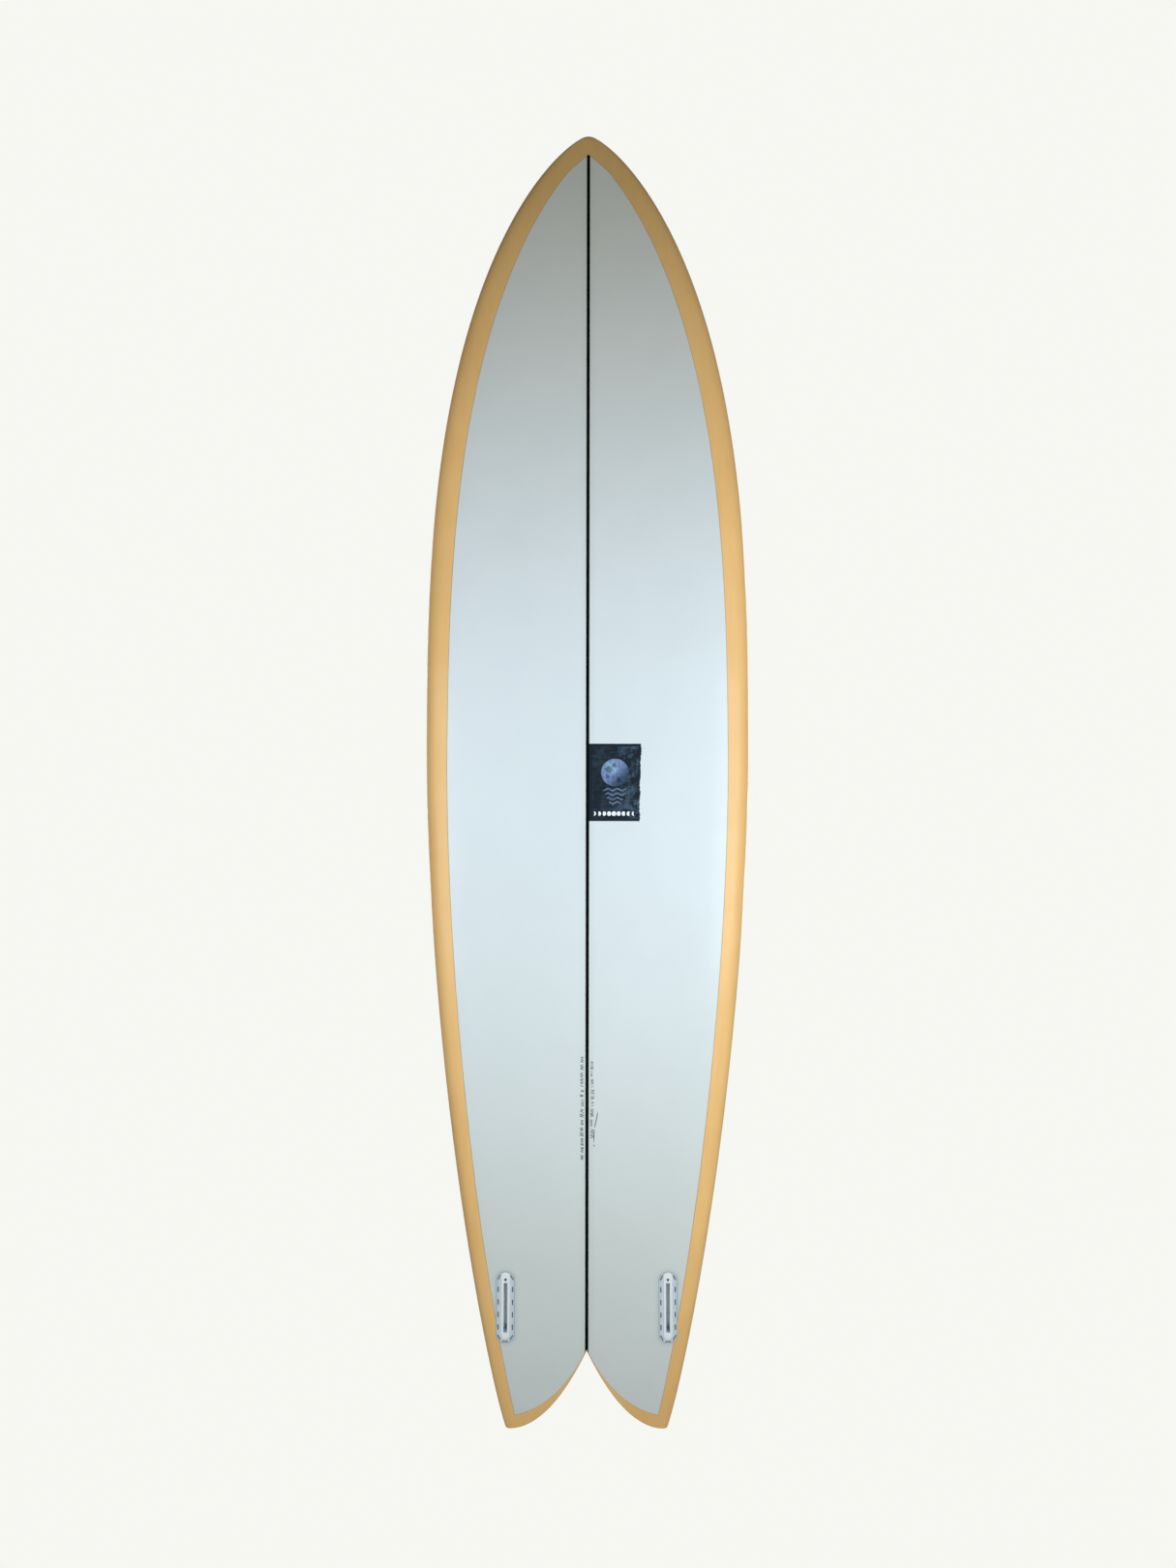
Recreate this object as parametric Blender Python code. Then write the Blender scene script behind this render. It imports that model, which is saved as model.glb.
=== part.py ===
"""Twin-fin fish surfboard, 7 ft 6 in long: foam blank, stringer, glass skins, fin boxes and leash plug.

Lengths are in metres. The board stands on its tail, with the nose at +Z, the bottom facing -Y and the deck
facing +Y. The origin is on the centreline of the deck at mid-length. Left and right are a rider's, who
stands on the deck and faces the nose, so left is +X.
"""

import math

import bmesh
import bpy
from mathutils import Matrix, Vector

# Outline of the board, seen square to its bottom
LENGTH, WIDTH, THICKNESS = 2.286, 0.546, 0.076
NOSE_Z, TAIL_Z = LENGTH / 2, -LENGTH / 2
WIDE_Z = 0.030  # widest point
NOSE_POWER, NOSE_ROUND = 2.79, 0.71  # superellipse from the widest point to the nose
TAIL_POWER, TAIL_ROUND = 1.70, 0.87  # and from the widest point to the tail tips
TAIL_TIP_X = 0.1395
SWALLOW_DEPTH, SWALLOW_POWER = 0.144, 2.1

# Rocker and foil
ROCKER_Z = -0.06  # lowest point of the bottom
NOSE_ROCKER, NOSE_ROCKER_POWER = 0.133, 2.4
TAIL_ROCKER, TAIL_ROCKER_POWER = 0.070, 2.2
END_THICKNESS, FOIL_POWER = 0.012, 2.6
APEX = 0.38  # height of the rail's apex above the bottom, as a share of the thickness
DECK_POWER, BOTTOM_POWER = 2.6, 12.0  # how late the deck and the bottom turn into the rail
NOSE_RADIUS = 0.010

# Layers, from the outside in, and the gap kept between neighbours
GAP = 0.0003
GLASS = 0.0010
FOAM_INSET = GLASS + GAP
STRINGER_HALF = 0.00275
GLUE = 0.0003
GLUE_X = STRINGER_HALF + GAP
FOAM_X = GLUE_X + GLUE + GAP

# Cut lap: the line on the bottom where the tinted deck cloth ends
LAP_TAIL, LAP_NOSE, LAP_POWER = 0.0245, 0.047, 0.6
LAP_SWALLOW = 0.022  # at the tail tips
LAP_CROTCH = 0.004
LAP_SWELL = 1.3  # how late it widens from the crotch out to the tips
LAP_NOSE_END = NOSE_Z - 0.037
CUT_ABOVE, CUT_BELOW = 0.006, 0.030  # reach of the lap cutter into and out of the bottom

# Fin boxes, each in its own frame: u across, v along with +v towards the nose, w out of the bottom
FIN_X, FIN_Z, FIN_TOE = 0.139, -0.917, math.radians(0.8)
FLANGE_LENGTH, FLANGE_WIDTH, FLANGE_THICKNESS = 0.1315, 0.0325, 0.0020
FLANGE_DEPTH = 0.0022  # of its top below the surface
FLANGE_TOP, FLANGE_UNDER = -FLANGE_DEPTH, -FLANGE_DEPTH - FLANGE_THICKNESS
FLAT_END = 0.0010  # straight part left between an end's two corners
RIM_LENGTH, RIM_WIDTH, RIM_V, RIM_CHAMFER = 0.1210, 0.0156, 0.0024, 0.0006
BOX_LENGTH, BOX_WIDTH, BOX_DEPTH = 0.1120, 0.0130, 0.0180
BOX_FLOOR = -FLANGE_DEPTH - BOX_DEPTH
SLOT_LENGTH, SLOT_WIDTH, SLOT_DEPTH, SLOT_V = 0.0907, 0.0066, 0.0150, -0.00115
SLOT_CORNER = 0.0012
PERFORATION_WIDTH, PERFORATION_LENGTH = 0.0022, 0.0100
PERFORATION_U, PERFORATION_V, PERFORATION_PITCH = 0.0123, -0.0014, 0.0229
CORNER_HOLE_U, CORNER_HOLE_V, CORNER_HOLE_TURN = 0.0109, 0.0546, math.radians(28)
END_HOLE_V = -0.0618
RESIN = 0.0010
RESIN_DEPTH = 0.0030  # of the bed's upper edge
STEP_SIZE, STEP_V, STEP_DEPTH = 0.0050, -0.0530, 0.0012

# Fin screw, in a bore that leans back into the front of the slot
BORE_RADIUS, BORE_DEPTH = 0.0021, 0.0160
SCREW_RADIUS, SCREW_LENGTH, SCREW_CHAMFER = 0.0018, 0.0060, 0.0003
SCREW_LEAN = math.radians(30)
SCREW_V = 0.0505
SCREW_RECESS = 0.0020  # of its head below the rim, backed out
HEX_APOTHEM, HEX_DEPTH, HEX_POINTS = 0.0010, 0.0020, 18

# Leash plug, in the deck ahead of the swallow
PLUG_X, PLUG_Z = 0.030, TAIL_Z + SWALLOW_DEPTH + 0.075
PLUG_RADIUS, PLUG_FLANGE_RADIUS, PLUG_BORE, PLUG_DEPTH = 0.0130, 0.0150, 0.0105, 0.0160
PLUG_FLANGE, PLUG_FLOOR, PLUG_PROUD = 0.0015, 0.0020, 0.0004
PLUG_CHAMFER, PLUG_FLOOR_BEVEL, PLUG_EDGE = 0.0005, 0.0030, 0.0010
BAR_RADIUS, BAR_DEPTH, BAR_SEAT = 0.00125, 0.0050, 0.0013
PLUG_SEGMENTS, BAR_SEGMENTS = 24, 16

# Label, a sheet of rice paper laid beside the stringer under the glass
LABEL_WIDTH, LABEL_LENGTH, LABEL_PAPER = 0.085, 0.129, 0.0004
LABEL_X, LABEL_Z = 0.0049 + LABEL_WIDTH / 2, -0.0200
LABEL_DEPTH = FOAM_INSET + GAP

RING_STEPS = 14  # facets across the bottom, and again across the deck
LENGTH_ROWS = 22
NOSE_ROWS = 2
CORNER_STEPS = 4
SWALLOW_STEPS = 10  # facets of each half of the swallow
REACH = 0.05  # how far a large cutter runs past what it cuts
SHORT_REACH = 0.01


# ---------------------------------------------------------------- shape of the board


def half_width(z):
    """Half the outline's width at a height z."""
    if z > WIDE_Z:
        t = min((z - WIDE_Z) / (NOSE_Z - WIDE_Z), 1.0)
        return WIDTH / 2 * (1 - t**NOSE_POWER) ** NOSE_ROUND
    t = min((WIDE_Z - z) / (WIDE_Z - TAIL_Z), 1.0)
    return TAIL_TIP_X + (WIDTH / 2 - TAIL_TIP_X) * (1 - t**TAIL_POWER) ** TAIL_ROUND


def rocker(z):
    """How far the bottom has curved towards the deck at a height z."""
    nose = max(z - ROCKER_Z, 0) / (NOSE_Z - ROCKER_Z)
    tail = max(ROCKER_Z - z, 0) / (ROCKER_Z - TAIL_Z)
    return NOSE_ROCKER * nose**NOSE_ROCKER_POWER + TAIL_ROCKER * tail**TAIL_ROCKER_POWER


def thickness(z):
    share = 1 - min(abs(z) / NOSE_Z, 1.0) ** FOIL_POWER
    return END_THICKNESS + (THICKNESS - END_THICKNESS) * share


def bottom_centre(z):
    return rocker(z) - rocker(0) - THICKNESS


def nose_closing(z):
    """1 along the board, falling to 0 where the nose rounds off."""
    return math.sqrt(1 - (1 - min((NOSE_Z - z) / NOSE_RADIUS, 1)) ** 2)


def surface_y(x, z, deck):
    """The board's surface: a rail whose upper and lower halves are superellipses that meet at the apex."""
    across = min(abs(x) / half_width(z), 1.0)
    below = APEX * thickness(z)
    apex = bottom_centre(z) + below
    if deck:
        return apex + (thickness(z) - below) * math.sqrt(1 - across**DECK_POWER) * nose_closing(z)
    return apex - below * math.sqrt(1 - across**BOTTOM_POWER) * nose_closing(z)


def swallow_z(x, inset=0.0):
    """Edge of the swallow tail, moved into the board by inset."""
    across = max(1 - abs(x) / TAIL_TIP_X, 0)
    slope = SWALLOW_POWER * SWALLOW_DEPTH / TAIL_TIP_X * across ** (SWALLOW_POWER - 1)
    return TAIL_Z + SWALLOW_DEPTH * across**SWALLOW_POWER + inset * math.hypot(1, slope)


def lap_x(z):
    """Half the width of the clear panel on the bottom."""
    share = (z - TAIL_Z) / LENGTH
    return half_width(z) - (LAP_TAIL + (LAP_NOSE - LAP_TAIL) * share**LAP_POWER)


def lap_swallow_z(x):
    """Where the clear panel ends above the swallow, close to the edge at the crotch and wide at the tips."""
    share = math.sin(math.pi / 2 * min(abs(x) / (TAIL_TIP_X - LAP_TAIL), 1)) ** LAP_SWELL
    return swallow_z(x, LAP_CROTCH * (1 - share)) + LAP_SWALLOW * share


def surface_frame(x, z, deck, turn=0.0, footprint=0.016):
    """A frame on the surface: local Z out of the board, local Y along it towards the nose, then turned."""
    side = 1 if deck else -1
    middle = Vector((x, surface_y(x, z, deck), z))
    along = Vector(
        (0, surface_y(x, z + footprint, deck) - surface_y(x, z - footprint, deck), 2 * footprint)
    ).normalized()
    across = Vector((2 * footprint, surface_y(x + footprint, z, deck) - surface_y(x - footprint, z, deck), 0))
    out = across.cross(along).normalized()
    out = out if out.y * side > 0 else -out
    axes = Matrix((along.cross(out), along, out)).transposed().to_4x4()
    return Matrix.Translation(middle) @ axes @ Matrix.Rotation(turn, 4, "Z")


# ---------------------------------------------------------------- building blocks


def material(name, colour, roughness, metallic=0.0):
    made = bpy.data.materials.new(name)
    made.use_nodes = True
    shader = made.node_tree.nodes["Principled BSDF"]
    shader.inputs["Base Color"].default_value = (*colour, 1)
    shader.inputs["Roughness"].default_value = roughness
    shader.inputs["Metallic"].default_value = metallic
    return made


def empty(name, matrix):
    made = bpy.data.objects.new(name, None)
    made.matrix_world = matrix
    bpy.context.collection.objects.link(made)
    return made


def add(name, mesh, finish=None, parent=None, matrix=None):
    made = bpy.data.objects.new(name, mesh)
    bpy.context.collection.objects.link(made)
    if finish:
        mesh.materials.append(finish)
    made.parent = parent
    made.matrix_local = matrix or Matrix()
    return made


def cutter(name, mesh, parent=None, matrix=None):
    made = add(name, mesh, None, parent, matrix)
    made.hide_render = True
    made.display_type = "WIRE"
    return made


def boolean(target, tool, operation="DIFFERENCE"):
    step = target.modifiers.new(f"{operation.lower()} {tool.name}", "BOOLEAN")
    step.operation = operation
    step.object = tool
    step.solver = "EXACT"


def loft(name, rings):
    """A closed body through rings of equally many points. A ring of one point is a tip."""
    shape = bmesh.new()
    rows = [[shape.verts.new(p) for p in ring] for ring in rings]
    for low, high in zip(rows, rows[1:]):
        count = max(len(low), len(high))
        for i in range(count):
            j = (i + 1) % count
            if len(low) == 1:
                shape.faces.new((low[0], high[j], high[i]))
            elif len(high) == 1:
                shape.faces.new((low[i], low[j], high[0]))
            elif (low[i].co.x + low[j].co.x) > 0:
                shape.faces.new((low[i], low[j], high[j]))
                shape.faces.new((low[i], high[j], high[i]))
            else:
                shape.faces.new((low[i], low[j], high[i]))
                shape.faces.new((low[j], high[j], high[i]))
    if len(rows[0]) > 1:
        shape.faces.new(rows[0])
    if len(rows[-1]) > 1:
        shape.faces.new(rows[-1])
    bmesh.ops.recalc_face_normals(shape, faces=shape.faces)
    return finished(shape, name)


def finished(shape, name):
    mesh = bpy.data.meshes.new(name)
    shape.to_mesh(mesh)
    shape.free()
    return mesh


def block(name, low, high):
    """A box between two corners."""
    corners = [(low[0], low[1]), (high[0], low[1]), (high[0], high[1]), (low[0], high[1])]
    return loft(name, [[(x, y, z) for x, y in corners] for z in (low[2], high[2])])


def rounded(length, width, radius, w, v=0.0, grow=0.0):
    """A rounded rectangle along local Y at a height w, moved along by v and grown on all sides."""
    radius += grow
    half_u, half_v = width / 2 + grow - radius, length / 2 + grow - radius
    ring = []
    for quarter, (side_u, side_v) in enumerate(((1, 1), (-1, 1), (-1, -1), (1, -1))):
        for step in range(CORNER_STEPS + 1):
            angle = (quarter + step / CORNER_STEPS) * math.pi / 2
            u = side_u * half_u + radius * math.cos(angle)
            ring.append((u, v + side_v * half_v + radius * math.sin(angle), w))
    return ring


def circle(radius, w, count):
    turns = [math.tau * i / count for i in range(count)]
    return [(radius * math.cos(a), radius * math.sin(a), w) for a in turns]


def hexagon(apothem, w, count):
    """A hexagon with as many points as a circle, so that the two can be joined."""
    ring = []
    for i in range(count):
        angle = math.tau * i / count
        radius = apothem / math.cos(angle % (math.pi / 3) - math.pi / 6)
        ring.append((radius * math.cos(angle), radius * math.sin(angle), w))
    return ring


# ---------------------------------------------------------------- the blank and its glass


def board_ring(z):
    """The board's section at a height z, round the bottom from right to left and back over the deck."""
    half = half_width(z)
    xs = [half * math.sin(math.pi * (i / RING_STEPS - 0.5)) for i in range(RING_STEPS + 1)]
    bottom = [(x, surface_y(x, z, False), z) for x in xs]
    deck = [(x, surface_y(x, z, True), z) for x in xs[-2:0:-1]]
    return bottom + deck


def row_heights():
    """Heights of the sections, close together at the ends."""
    turns = [math.pi / 2 * i / NOSE_ROWS for i in range(1, NOSE_ROWS + 1)]
    nose = [NOSE_Z - NOSE_RADIUS * (1 - math.cos(turn)) for turn in turns]
    span = nose[-1] - TAIL_Z
    rest = [TAIL_Z + span * (1 + math.cos(math.pi * i / LENGTH_ROWS)) / 2 for i in range(1, LENGTH_ROWS + 1)]
    return nose + rest


def board_mesh(name, inset):
    """The whole board without its swallow, shrunk by inset on all sides with its facets kept parallel."""
    tip = (0, bottom_centre(NOSE_Z) + APEX * thickness(NOSE_Z), NOSE_Z)
    mesh = loft(name, [[tip]] + [board_ring(z) for z in row_heights()])
    shape = bmesh.new()
    shape.from_mesh(mesh)
    shape.normal_update()
    moves = [v.normal * v.calc_shell_factor() * inset for v in shape.verts]
    for v, move in zip(shape.verts, moves):
        v.co -= move
    shape.to_mesh(mesh)
    shape.free()
    return mesh


def notch_mesh(name, edge_z):
    """A plate through the board, below the curve z = edge_z(x), that cuts the swallow."""
    end = TAIL_TIP_X + REACH
    xs = [end * i / SWALLOW_STEPS for i in range(-SWALLOW_STEPS, SWALLOW_STEPS + 1)]
    top = [(x, edge_z(x)) for x in xs]
    outline = [(xs[0], TAIL_Z - REACH)] + top + [(xs[-1], TAIL_Z - REACH)]
    return loft(name, [[(x, y, z) for x, z in outline] for y in (-THICKNESS - REACH, THICKNESS)])


def board_body(name, inset):
    """The board with its swallow cut out, as a guide that other pieces are cut from."""
    body = cutter(name, board_mesh(name, inset))
    boolean(body, cutter(f"{name}_swallow", notch_mesh(f"{name}_swallow", lambda x: swallow_z(x, inset))))
    return body


def slice_of(name, guide, x_low, x_high, finish):
    """The part of a guide body between two planes across the board."""
    piece = add(name, block(name, (x_low, -WIDTH, -LENGTH), (x_high, WIDTH, LENGTH)), finish)
    boolean(piece, guide, "INTERSECT")
    return piece


def lap_cutter(name, grow):
    """A slab that holds the clear panel: out to the cut lap line, and no deeper than the bottom's glass."""
    heights = [z for z in row_heights() if z < LAP_NOSE_END - NOSE_RADIUS]
    rings = []
    for z in [LAP_NOSE_END] + heights + [TAIL_Z - REACH]:
        half = (STRINGER_HALF if z == LAP_NOSE_END else lap_x(max(z, TAIL_Z))) + grow
        low, high = bottom_centre(z) - CUT_BELOW, bottom_centre(z) + CUT_ABOVE
        rings.append([(-half, low, z), (half, low, z), (half, high, z), (-half, high, z)])
    slab = cutter(name, loft(name, rings))
    edge = notch_mesh(f"{name}_edge", lambda x: lap_swallow_z(x) - grow)
    boolean(slab, cutter(f"{name}_edge", edge))
    return slab


def foam_and_stringer(foam, wood, glue):
    """The blank: two foam halves glued to a stringer."""
    core = board_body("blank_shape", FOAM_INSET)
    slice_of("stringer", core, -STRINGER_HALF, STRINGER_HALF, wood)
    slice_of("glue_line_left", core, GLUE_X, GLUE_X + GLUE, glue)
    slice_of("glue_line_right", core, -GLUE_X - GLUE, -GLUE_X, glue)
    left = slice_of("foam_blank_left", core, FOAM_X, WIDTH, foam)
    right = slice_of("foam_blank_right", core, -WIDTH, -FOAM_X, foam)
    return left, right


def skin(name, finish, lap_operation, lap):
    """The board's glass, kept inside or outside the cut lap line."""
    piece = add(name, board_mesh(name, 0), finish)
    boolean(piece, bpy.data.objects["outer_swallow"])
    boolean(piece, bpy.data.objects["glass_inside"])
    boolean(piece, lap, lap_operation)
    return piece


def glass(clear, tinted):
    """Bottom skin inside the cut lap line, and deck skin that wraps the rails and reaches that line."""
    cutter("outer_swallow", notch_mesh("outer_swallow", swallow_z))
    board_body("glass_inside", GLASS)
    bottom = skin("bottom_laminate", clear, "INTERSECT", lap_cutter("panel", 0))
    deck = skin("deck_laminate", tinted, "DIFFERENCE", lap_cutter("panel_clear", GAP))
    return bottom, deck


# ---------------------------------------------------------------- fin boxes


def flange_ring(w, grow=0.0):
    return rounded(FLANGE_LENGTH, FLANGE_WIDTH, (FLANGE_WIDTH - FLAT_END) / 2, w, 0, grow)


def body_ring(w, grow=0.0):
    return rounded(BOX_LENGTH, BOX_WIDTH, (BOX_WIDTH - FLAT_END) / 2, w, 0, grow)


def rim_ring(w, grow=0.0):
    return rounded(RIM_LENGTH, RIM_WIDTH, (RIM_WIDTH - FLAT_END) / 2, w, RIM_V, grow)


def slot_ring(w, grow=0.0):
    return rounded(SLOT_LENGTH, SLOT_WIDTH, SLOT_CORNER, w, SLOT_V, grow)


def fin_box_mesh(name):
    """A box with a flange under the glass and a rim that comes up flush round an open slot."""
    return loft(
        name,
        [
            body_ring(BOX_FLOOR),
            body_ring(FLANGE_UNDER),
            flange_ring(FLANGE_UNDER),
            flange_ring(FLANGE_TOP),
            rim_ring(FLANGE_TOP),
            rim_ring(-RIM_CHAMFER),
            rim_ring(0, -RIM_CHAMFER),
            slot_ring(0, RIM_CHAMFER / 2),
            slot_ring(-RIM_CHAMFER / 2),
            slot_ring(-SLOT_DEPTH),
        ],
    )


def resin_mesh(name):
    """The bed of resin that the box is set in, a tray that follows it all round below the glass."""
    inner, outer = GAP, GAP + RESIN
    return loft(
        name,
        [
            body_ring(BOX_FLOOR - outer, outer),
            body_ring(FLANGE_UNDER - outer, outer),
            flange_ring(FLANGE_UNDER - outer, outer),
            flange_ring(-RESIN_DEPTH, outer),
            flange_ring(-RESIN_DEPTH, inner),
            flange_ring(FLANGE_UNDER - inner, inner),
            body_ring(FLANGE_UNDER - inner, inner),
            body_ring(BOX_FLOOR - inner, inner),
        ],
    )


def pocket_mesh(name):
    """The routed pocket in the foam, which leaves a gap round the resin."""
    grow = RESIN + 2 * GAP
    return loft(
        name,
        [
            body_ring(BOX_FLOOR - grow, grow),
            body_ring(FLANGE_UNDER - grow, grow),
            flange_ring(FLANGE_UNDER - grow, grow),
            flange_ring(SHORT_REACH, grow),
        ],
    )


def perforations():
    """Places of the flange's slots: four down each side, four round its corners and one at its tail end."""
    places = []
    for side in (-1, 1):
        for step in (-1.5, -0.5, 0.5, 1.5):
            places.append((side * PERFORATION_U, PERFORATION_V + step * PERFORATION_PITCH, 0))
        for end in (-1, 1):
            places.append((side * CORNER_HOLE_U, end * CORNER_HOLE_V, side * end * CORNER_HOLE_TURN))
    places.append((0, END_HOLE_V, math.pi / 2))
    return places


def perforation_mesh(name, grow, low, high):
    """All the perforations as one set of upright blocks."""
    shape = bmesh.new()
    size = (PERFORATION_WIDTH + 2 * grow, PERFORATION_LENGTH + 2 * grow, high - low)
    for u, v, turn in perforations():
        placed = Matrix.Translation((u, v, (low + high) / 2)) @ Matrix.Rotation(turn, 4, "Z")
        bmesh.ops.create_cube(shape, matrix=placed @ Matrix.Diagonal((*size, 1)))
    return finished(shape, name)


def screw_frame(along=0.0):
    """The screw's own frame in the box: local Z points out of the bore, along it by the given distance."""
    at = Matrix.Translation((0, SCREW_V, 0)) @ Matrix.Rotation(-SCREW_LEAN, 4, "X")
    return at @ Matrix.Translation((0, 0, along))


def screw_mesh(name):
    """A socket set screw with chamfered ends."""
    n = HEX_POINTS
    return loft(
        name,
        [
            circle(SCREW_RADIUS - 2 * SCREW_CHAMFER, -SCREW_LENGTH, n),
            circle(SCREW_RADIUS, -SCREW_LENGTH + 2 * SCREW_CHAMFER, n),
            circle(SCREW_RADIUS, -SCREW_CHAMFER, n),
            circle(SCREW_RADIUS - SCREW_CHAMFER, 0, n),
            hexagon(HEX_APOTHEM, 0, n),
            hexagon(HEX_APOTHEM, -HEX_DEPTH, n),
        ],
    )


def fin_box(side, foam_half, skins, finishes):
    """One fin box with its resin bed and its screw, and the pocket and the openings that they need."""
    name = "left" if side > 0 else "right"
    seat = empty(f"fin_seat_{name}", surface_frame(side * FIN_X, FIN_Z, False, side * FIN_TOE))
    box = add(f"fin_box_{name}", fin_box_mesh(f"fin_box_{name}"), finishes["plastic"], seat)
    bore = loft(f"bore_{name}", [circle(BORE_RADIUS, w, HEX_POINTS) for w in (-BORE_DEPTH, SHORT_REACH)])
    boolean(box, cutter(f"bore_{name}", bore, seat, screw_frame()))
    holes = perforation_mesh(f"holes_{name}", 0, FLANGE_UNDER - RESIN, FLANGE_TOP + RESIN)
    boolean(box, cutter(f"holes_{name}", holes, seat))
    step = block(
        f"step_{name}",
        (-STEP_SIZE / 2, STEP_V - STEP_SIZE / 2, -STEP_DEPTH),
        (STEP_SIZE / 2, STEP_V + STEP_SIZE / 2, SHORT_REACH),
    )
    boolean(box, cutter(f"step_{name}", step, seat))

    resin = add(f"fin_box_resin_{name}", resin_mesh(f"fin_box_resin_{name}"), finishes["resin"], seat)
    plugs = perforation_mesh(f"plugs_{name}", -GAP, FLANGE_UNDER - GAP - RESIN / 2, FLANGE_TOP)
    boolean(resin, cutter(f"plugs_{name}", plugs, seat), "UNION")

    boolean(foam_half, cutter(f"pocket_{name}", pocket_mesh(f"pocket_{name}"), seat))
    opening = loft(f"rim_opening_{name}", [rim_ring(w, GAP) for w in (FLANGE_UNDER, SHORT_REACH)])
    for piece in skins:
        boolean(piece, cutter(f"rim_opening_{name}_{piece.name}", opening, seat))

    head = screw_frame(-SCREW_RECESS / math.cos(SCREW_LEAN))
    add(f"fin_screw_{name}", screw_mesh(f"fin_screw_{name}"), finishes["steel"], seat, head)


# ---------------------------------------------------------------- leash plug and label


def leash_plug(foam_half, deck_skin, finishes):
    """A cup in the deck with a steel bar across it, set in resin."""
    seat = empty("leash_seat", surface_frame(PLUG_X, PLUG_Z, True))
    n = PLUG_SEGMENTS
    floor = -PLUG_DEPTH
    cup = loft(
        "leash_plug",
        [
            circle(PLUG_RADIUS - PLUG_EDGE, floor, n),
            circle(PLUG_RADIUS, floor + PLUG_EDGE, n),
            circle(PLUG_RADIUS, PLUG_PROUD - PLUG_FLANGE, n),
            circle(PLUG_FLANGE_RADIUS, PLUG_PROUD - PLUG_FLANGE, n),
            circle(PLUG_FLANGE_RADIUS, PLUG_PROUD - PLUG_CHAMFER, n),
            circle(PLUG_FLANGE_RADIUS - PLUG_CHAMFER, PLUG_PROUD, n),
            circle(PLUG_BORE + PLUG_CHAMFER, PLUG_PROUD, n),
            circle(PLUG_BORE, PLUG_PROUD - PLUG_CHAMFER, n),
            circle(PLUG_BORE, floor + PLUG_FLOOR + PLUG_FLOOR_BEVEL, n),
            circle(PLUG_BORE - PLUG_FLOOR_BEVEL, floor + PLUG_FLOOR, n),
        ],
    )
    cup = add("leash_plug", cup, finishes["plastic"], seat)
    across = Matrix.Translation((0, 0, -BAR_DEPTH)) @ Matrix.Rotation(math.pi / 2, 4, "Y")
    half = PLUG_BORE + BAR_SEAT
    bar = loft("leash_plug_bar", [circle(BAR_RADIUS, w, BAR_SEGMENTS) for w in (-half, half)])
    add("leash_plug_bar", bar, finishes["steel"], seat, across)
    seats = loft("bar_seats", [circle(BAR_RADIUS + GAP, w, BAR_SEGMENTS) for w in (-half - GAP, half + GAP)])
    boolean(cup, cutter("bar_seats", seats, seat, across))

    outer, inner = GAP + RESIN, GAP
    top = -GLASS - 2 * GAP
    bed = loft(
        "leash_plug_resin",
        [
            circle(PLUG_RADIUS + outer, floor - outer, n),
            circle(PLUG_RADIUS + outer, top, n),
            circle(PLUG_RADIUS + inner, top, n),
            circle(PLUG_RADIUS + inner, floor - inner, n),
        ],
    )
    add("leash_plug_resin", bed, finishes["resin"], seat)
    grow = RESIN + 2 * GAP
    hole = loft("plug_hole", [circle(PLUG_RADIUS + grow, w, n) for w in (floor - grow, SHORT_REACH)])
    boolean(foam_half, cutter("plug_hole", hole, seat))
    recess = loft(
        "plug_recess", [circle(PLUG_FLANGE_RADIUS + GAP, w, n) for w in (-SHORT_REACH / 2, SHORT_REACH)]
    )
    boolean(deck_skin, cutter("plug_recess", recess, seat))


def label(foam_half, paper):
    """The paper label in a shallow recess of the foam."""
    seat = empty("label_seat", surface_frame(LABEL_X, LABEL_Z, False))
    half_u, half_v = LABEL_WIDTH / 2, LABEL_LENGTH / 2
    low = -LABEL_DEPTH - LABEL_PAPER
    sheet = block("label", (-half_u, -half_v, low), (half_u, half_v, -LABEL_DEPTH))
    add("label", sheet, paper, seat)
    recess = block(
        "label_recess", (-half_u - GAP, -half_v - GAP, low - GAP), (half_u + GAP, half_v + GAP, SHORT_REACH)
    )
    boolean(foam_half, cutter("label_recess", recess, seat))


def main():
    for old in list(bpy.data.objects):
        bpy.data.objects.remove(old)
    finishes = {
        "plastic": material("white_plastic", (0.80, 0.83, 0.86), 0.35),
        "resin": material("clear_resin", (0.62, 0.66, 0.66), 0.15),
        "steel": material("stainless_steel", (0.60, 0.60, 0.62), 0.30, 1.0),
    }
    left, right = foam_and_stringer(
        material("white_foam", (0.86, 0.89, 0.88), 0.60),
        material("black_stringer", (0.015, 0.015, 0.016), 0.45),
        material("grey_glue", (0.45, 0.46, 0.46), 0.40),
    )
    bottom, deck = glass(
        material("clear_glass", (0.82, 0.87, 0.88), 0.12),
        material("tan_tinted_glass", (0.72, 0.51, 0.24), 0.15),
    )
    fin_box(1, left, (bottom, deck), finishes)
    fin_box(-1, right, (bottom, deck), finishes)
    leash_plug(left, deck, finishes)
    label(left, material("label_paper", (0.02, 0.04, 0.06), 0.45))


main()
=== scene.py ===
"""Looks of the twin-fin fish surfboard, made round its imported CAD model.

Lengths are in metres. The nose is at +Z, the bottom faces -Y and the deck faces +Y. The board's outline,
rocker and foil are the same formulas as in the CAD, drawn here at a much finer step.
"""

import math
import random

import bmesh
import bpy
from mathutils import Matrix, Vector


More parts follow.
